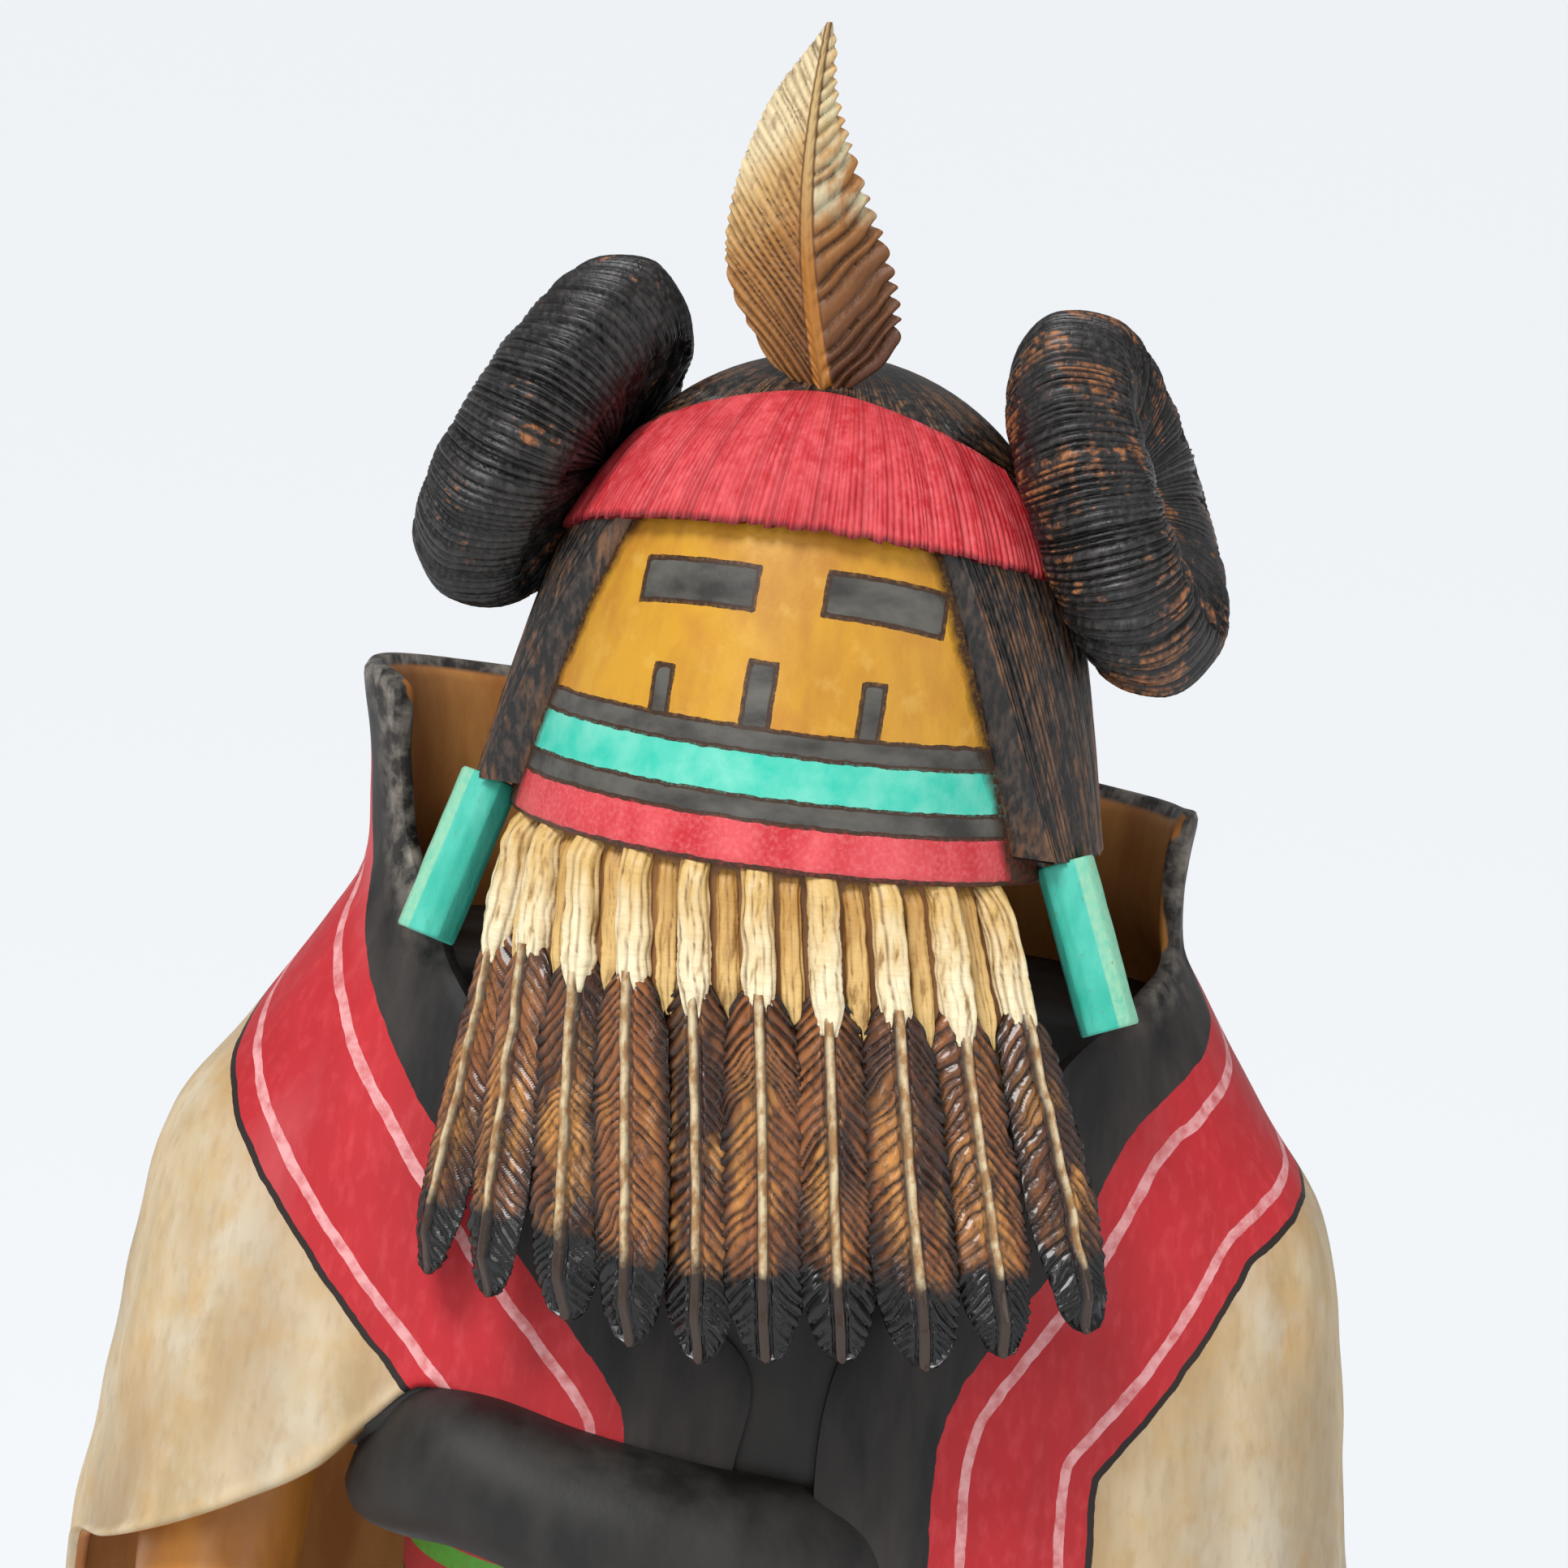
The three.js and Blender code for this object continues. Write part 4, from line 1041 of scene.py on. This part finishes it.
def beard_point(angle, down, across, out):
    flare = mixed(beard_hang["flare_front"], beard_hang["flare_side"], (angle / beard_hang["spread"]) ** 2)
    radius = (head["chin_radius"] - 0.35) * percent + flare * down + out
    facing = angle * beard_hang["facing"]
    x = sin(angle) * radius + cos(facing) * across + beard_hang["sway"] * down
    return xyz(x, sin(facing) * across - cos(angle) * radius, -down)


vane_outline = along_rows([
    [0, 0.4], [0.06, 0.72], [0.15, 0.9], [0.4, 1], [0.68, 1],
    [0.86, 0.82], [0.95, 0.55], [0.985, 0.32], [1, 0.04],
])


def make_beard():
    vane_material = vane_paint()
    pale = quill_paint("quill_paint", (0.86, 0.75, 0.50), (0.66, 0.43, 0.15))
    brown = quill_paint("under_quill_paint", (0.72, 0.48, 0.18), (0.48, 0.25, 0.06))
    columns, rows = 44, 190
    for index in range(beard["count"]):
        place = 2 * index / (beard["count"] - 1) - 1
        angle = place * beard_hang["spread"]
        uneven = 0.03 * abs(math.sin(index * 2.3))
        rise = beard_hang["side_rise"] * place**2 + beard_hang["left_rise"] * place + uneven
        length = beard["length"] * (1 - rise)
        start = beard["quill_length"] - beard_hang["overlap"]
        across, share = crossed(np.linspace(-1, 1, columns), np.linspace(0, 1, rows))
        down = start + share * (length - start)
        width = vane_outline(share)[..., 0] * beard["vane_width"] / 2
        aside = np.abs(across)
        off = aside * width
        run = down - off * beard_barbs["slope"] + 0.45 * wander(across * width, down, 6, 160 + index)
        barb, _ = cut_lines(run + 0.5 * (across > 0), beard_barbs["apart"], 60 + index)
        ragged = 0.25 * wander(down, across * 0 + index, 6, 95 + index)
        notch = unit(aside * 5 - 4) * (0.55 * (1 - barb) + ragged)
        thick = beard["thickness"] / 2
        body = thick * (1 - 0.85 * aside**1.8) * np.clip((1 - share) * 9, 0.2, 1)
        shaft = unit((vane["shaft"] - off) / 0.2) * unit((0.93 - share) * 6)
        slot = unit(1 - np.abs(off - vane["slot"]) / 0.25)
        front = body - beard_barbs["depth"] * (1 - barb) * unit(off - 0.6) + 0.22 * shaft - 0.5 * slot - 0.2
        front = front + 0.18 * wander(off * 2, down, 5, 130 + index)
        x = across * (width - notch)
        twist = vane["twist"] * math.sin(index * 1.9 + 0.6) * x + vane["layer"] * (index % 2 - 0.5)
        bend = 0.35 * np.sin(down / beard["length"] * 5 + index * 1.3) * share
        sides = (front, -body * 0.8)
        front, back = (placed(beard_point(angle, down, x + bend, out + twist)) for out in sides)
        tone = share * 0 + math.sin(index * 2.6)
        fields = loop_fields(barb=barb, across=aside, off=off, down=share, tone=tone)
        build(f"beard_feather_{index + 1:02d}", loop_sides(front, back), vane_material, **fields)
        radius = beard["quill_width"] * quill["width"]
        make_quill(f"beard_quill_{index + 1:02d}", angle, radius, quill["out"], pale, start + quill["over"])
        if index < beard["count"] - 1:
            between = angle + beard_hang["spread"] / (beard["count"] - 1)
            name = f"beard_under_quill_{index + 1:02d}"
            length = start + quill["under_over"]
            make_quill(name, between, quill["under_radius"], quill["under_out"], brown, length)


def make_quill(name, angle, radius, out, material, length):
    turn, share = ring_grid(44, np.linspace(0, 1, 48))
    down = mixed(-0.8, length, share)
    seed = round(angle) + 200
    size = radius * (0.9 + 0.14 * share) * (1 - 0.5 * unit(share * 5 - 4))
    size = size * (1 + 0.09 * wander(turn / 40, down, 3.5, seed))
    grooves, _ = cut_lines(turn + 14 * wander(turn * 0, down, 8, seed + 4), 42, seed + 1)
    winds, _ = cut_lines(down + turn * 0.003, 0.9, seed + 2)
    wound = unit(wander(turn * 0, down, 9, seed + 3) * 2)
    size = size - 0.3 * (1 - grooves) - 0.16 * (1 - winds) * wound
    squared = 1 / np.maximum(np.abs(sin(turn)), np.abs(cos(turn))) ** 0.45
    tucked = out - 1.2 * unit(1 - down / 2.5) ** 2
    sideways, outwards = sin(turn) * size * squared, cos(turn) * size * squared
    points = placed(beard_point(angle, down, sideways, tucked + outwards * 0.75))
    build(name, closed_ends(points), material, wrap=True, down=ended(share), groove=ended(grooves))


def make_beard_wall(material):
    reach = beard_hang["spread"] + 2.5
    u, v = crossed(np.linspace(-reach, reach, 60), np.linspace(-0.03, 0.4, 12))
    down = v * beard["length"]
    outer, inner = (placed(beard_point(u, down, 0, out)) for out in beard_hang["wall_depths"])
    build("beard_wall", loop_sides(outer, inner), material)


def make_whorl(seat, word, wear):
    side, angle, height = seat["side"], seat["angle"], seat["height"]
    half = whorl["thickness"] / 2
    dish = half - whorl["dish_depth"]
    outline = np.array([
        [0, 0, -half],
        [1, 0.66, -half],
        [2, 0.88, -half * 0.76],
        [3, 1, -half * 0.2],
        [4, 0.99, half * 0.3],
        [5, 0.86, half * 0.86],
        [6, 0.68, half],
        [7, 0.46, mixed(dish, half, 0.7)],
        [8, 0.2, mixed(dish, half, 0.1)],
        [9, 0, dish],
    ])
    profile = along_rows(outline)
    steps = np.linspace(0, 9, 42)
    turn, step = ring_grid(1150, steps)
    place = profile(step)
    radius, z = place[..., 0] * whorl["radius"], place[..., 1]
    sway = 6 * sin(step * 25 + 40 * side) + 2.2 * wander(turn * 0.4, step * 6, 30, 90 + side)
    run = (turn + sway) / 360 * whorl_cuts["round"]
    wound, _ = cut_lines(run, whorl_cuts["fine"], 70 + side)
    hanks, _ = cut_lines(run, whorl_cuts["coarse"], 76 + side)
    lean = 0.5 * wander(turn * 0.3, step * 3, 18, 80 + side)
    deep = 2 - wound - hanks + np.maximum(lean, 0) * whorl_cuts["lean_depth"]
    deep = deep * np.clip(place[..., 0] * 2, 0.1, 1)
    shrink = 1 - deep / np.maximum(radius, 8)
    radius, z = radius * shrink, z - np.sign(z) * deep * (place[..., 0] < 0.8)
    flat = xyz(cos(turn) * radius, sin(turn) * radius, z)
    temple = on_head(side * angle, mask_radius(height) + hair_stand(height), height)
    matrix = (
        Matrix.Translation(Vector(temple))
        @ turned(side * (90 - seat["tilt"]), "Y")
        @ Matrix.Translation((-side * seat["up"] * percent, 0, half - seat["sunk"]))
    )
    material = hair_paint(f"whorl_paint_{word}", wear, (1, 1, 1), (0.40, 0.14, 0.04), (0.048, 0.041, 0.038))
    build(f"whorl_{word}", placed(flat, matrix), material, f"hair_whorl_{word}", "painted_hair", wrap=True,
          ridge=wound * (0.5 + 0.5 * hanks))


crown_outline = along_rows([
    [0, 0.15, 0.2], [0.03, 0.27, 0.3], [0.09, 0.58, 0.8], [0.18, 0.78, 0.98], [0.3, 0.98, 1], [0.42, 1, 0.9],
    [0.58, 0.88, 0.64], [0.73, 0.68, 0.38], [0.83, 0.5, 0.22], [0.95, 0.16, 0.12], [1, 0.03, 0.03],
])


def make_crown_feather():
    columns, rows = 96, 190
    across, share = crossed(np.linspace(-1, 1, columns), np.linspace(0, 1, rows))
    reach = crown_outline(share)
    half = crown_feather["width"] / 2
    width = np.where(across < 0, reach[..., 0], reach[..., 1]) * half
    up = share * (crown_feather["length"] - crown_seat["short"])
    bend = 0.5 * wander(across * width, up, 9, 92)
    aside = np.abs(across)
    off = aside * width
    steep, _ = cut_lines(up - off * crown_barbs["steep_slope"] + bend, crown_barbs["steep"], 90)
    broad, _ = cut_lines(up - off * crown_barbs["broad_slope"] + bend, crown_barbs["broad"], 94)
    barb = np.where(across < 0, steep, broad)
    jag = np.where(across < 0, *crown_barbs["jag"])
    notch = unit((aside - 0.75) / 0.25) * jag * (1 - barb) * unit(width / 3)
    bow = -crown_seat["bow"] * crown_feather["length"] * np.sin(np.pi * share)
    thick = crown_feather["thickness"] / 2 * mixed(1, 0.45, share)
    x = bow + across * (width - notch)
    cup = 0.1 * off
    shaft = 0.35 * unit(1 - off / 0.7)
    body = thick * (1 - 0.75 * aside**1.5)
    relief = (1 - barb) * unit(aside * 6) * unit(width / 2)
    front = xyz(x, cup - body + relief * 0.9 - shaft + 0.25, up)
    back = xyz(x, cup + body * 0.8 - relief * 0.3, up)
    matrix = (
        Matrix.Translation((
            crown_seat["aside"] * percent,
            -crown_seat["forward"] * percent,
            (dome_height(crown_seat["forward"]) - crown_seat["sunk"]) * percent,
        ))
        @ turned(crown_seat["lean"], "Y")
    )
    fields = loop_fields(1, barb=barb, up=share, across=across, off=off / half)
    points = placed(loop_sides(front, back, 1), matrix)
    build("crown_plume", points, crown_paint(), "crown_feather", "carved_feather", **fields)


def make_pendant(seat, word, material):
    side, bevel = seat["side"], pendant["bevel"]
    width, depth = pendant["width"] / 2, pendant["depth"] / 2
    corners = [
        (-width + bevel, -depth), (width - bevel, -depth), (width, -depth + bevel),
        (width, depth), (-width, depth), (-width, -depth + bevel),
    ]
    outline = []
    for (ax, ay), (bx, by) in zip(corners, corners[1:] + corners[:1]):
        for share in (0.06, 0.35, 0.65, 0.94):
            outline.append((mixed(ax, bx, share), mixed(ay, by, share)))
    outline = np.array(outline)
    z = np.concatenate([[0, 0], np.linspace(0.3, pendant["length"] - 0.3, 24), [pendant["length"]] * 2])
    size = np.concatenate([[0.9, 0.95], np.ones(24), [0.95, 0.9]])
    i, j = crossed(np.arange(len(outline)), np.arange(len(z)))
    wobble = 1 + 0.015 * wander(i * 2.0, z[j], 5, 41)
    wide = size[j] * wobble
    points = xyz(outline[i, 0] * wide, outline[i, 1] * wide, z[j] - pendant["length"])
    top = on_head(side * seat["angle"], seat["radius"], locks["bottom"])
    matrix = (
        Matrix.Translation(Vector(top))
        @ turned(-side * seat["splay"], "Y")
        @ turned(-seat["swing"], "X")
        @ turned(side * seat["turn"], "Z")
    )
    points = placed(closed_ends(points), matrix)
    build(f"pendant_{word}", points, material, f"ear_pendant_{word}", "turquoise_paint", wrap=True,
          outer=ended(side * outline[i, 0] / width))


def make_base():
    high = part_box("base")[1]
    radius, thickness, top_round, foot_round = high.x / MM, high.z / MM, 1.5, 0.6

    def rounded(size, middle, start, end, count):
        turn = np.linspace(start, end, count)
        return [(radius - size + size * cos(a), middle + size * sin(a)) for a in turn]

    foot = rounded(foot_round, foot_round, -90, 0, 5)
    rim = rounded(top_round, thickness - top_round, 0, 90, 9)
    under = [(0, 0), (radius * 0.5, 0), (radius * 0.97, 0)]
    over = [(radius * 0.9, thickness), (radius * 0.5, thickness), (0, thickness)]
    outline = np.array([*under, *foot, (radius, thickness * 0.5), *rim, *over], float)
    angle, j = ring_grid(180, np.arange(len(outline)))
    points = xyz(sin(angle) * outline[j, 0], -cos(angle) * outline[j, 0], outline[j, 1])
    build("plinth", points, wood_paint(), "base", "base_wood", wrap=True)


def make_figure():
    matt, satin = (0.5, 0.7), (0.45, 0.65)
    black = plain_paint("dress_paint", (0.03, 0.026, 0.023), (0.01, 0.009, 0.008), 5, 0.4, matt, 0.35, 0)
    bare = plain_paint("bare_wood", (0.36, 0.17, 0.055), (0.14, 0.058, 0.02), 7, 0.25, satin, 0.4, 0.05)
    make_shawl()
    make_torso(black)
    make_neck(bare)
    make_dress(black)
    make_belt()
    make_blouse(black)
    make_limbs()
    make_face()
    make_hair()
    make_fringe()
    make_beard()
    make_beard_wall(bare)


def make_glued_pieces():
    turquoise = pendant_paint()
    for seat, word, wear in zip(whorl_seats, ("right", "left"), (0.06, 0.17)):
        make_whorl(seat, word, wear)
    make_crown_feather()
    for seat, word in zip(pendant_seats, ("right", "left")):
        make_pendant(seat, word, turquoise)


def make_floor():
    paint = Paint("floor_paint")
    material = paint.done((0.88, 0.90, 0.92, 1), 0.9, [], specular=0.1)
    reach = 60
    mesh = bpy.data.meshes.new("floor")
    corners = [(-reach, -reach, 0), (reach, -reach, 0), (reach, reach, 0), (-reach, reach, 0)]
    mesh.from_pydata(corners, [], [(0, 1, 2, 3)])
    mesh.materials.append(material)
    floor = bpy.data.objects.new("floor", mesh)
    bpy.context.scene.collection.objects.link(floor)


LIGHT_TARGET = Vector((0, -0.02, 0.23))


def make_light(name, kind, place, strength, spread):
    """A soft light that faces the doll's chest from its place in metres."""
    data = bpy.data.lights.new(name, kind)
    data.energy = strength
    if kind == "SUN":
        data.angle = math.radians(spread)
    else:
        data.size = spread
    lamp = bpy.data.objects.new(name, data)
    lamp.location = place
    aim = LIGHT_TARGET - Vector(place)
    lamp.rotation_euler = aim.to_track_quat("-Z", "Y").to_euler()
    bpy.context.scene.collection.objects.link(lamp)


def make_studio():
    make_floor()
    world = bpy.data.worlds.new("studio")
    world.use_nodes = True
    background = world.node_tree.nodes["Background"]
    background.inputs["Color"].default_value = (0.95, 0.97, 1.0, 1)
    background.inputs["Strength"].default_value = 0.42
    bpy.context.scene.world = world
    make_light("window", "SUN", (-0.5, -0.9, 1.5), 2.4, 22)
    make_light("key", "AREA", (-0.35, -0.9, 0.6), 1.6, 0.3)
    make_light("fill", "AREA", (0.75, -0.75, 0.5), 1.2, 0.4)
    bpy.context.scene.view_settings.view_transform = "Standard"


make_figure()
make_glued_pieces()
make_base()
make_camera()
make_studio()
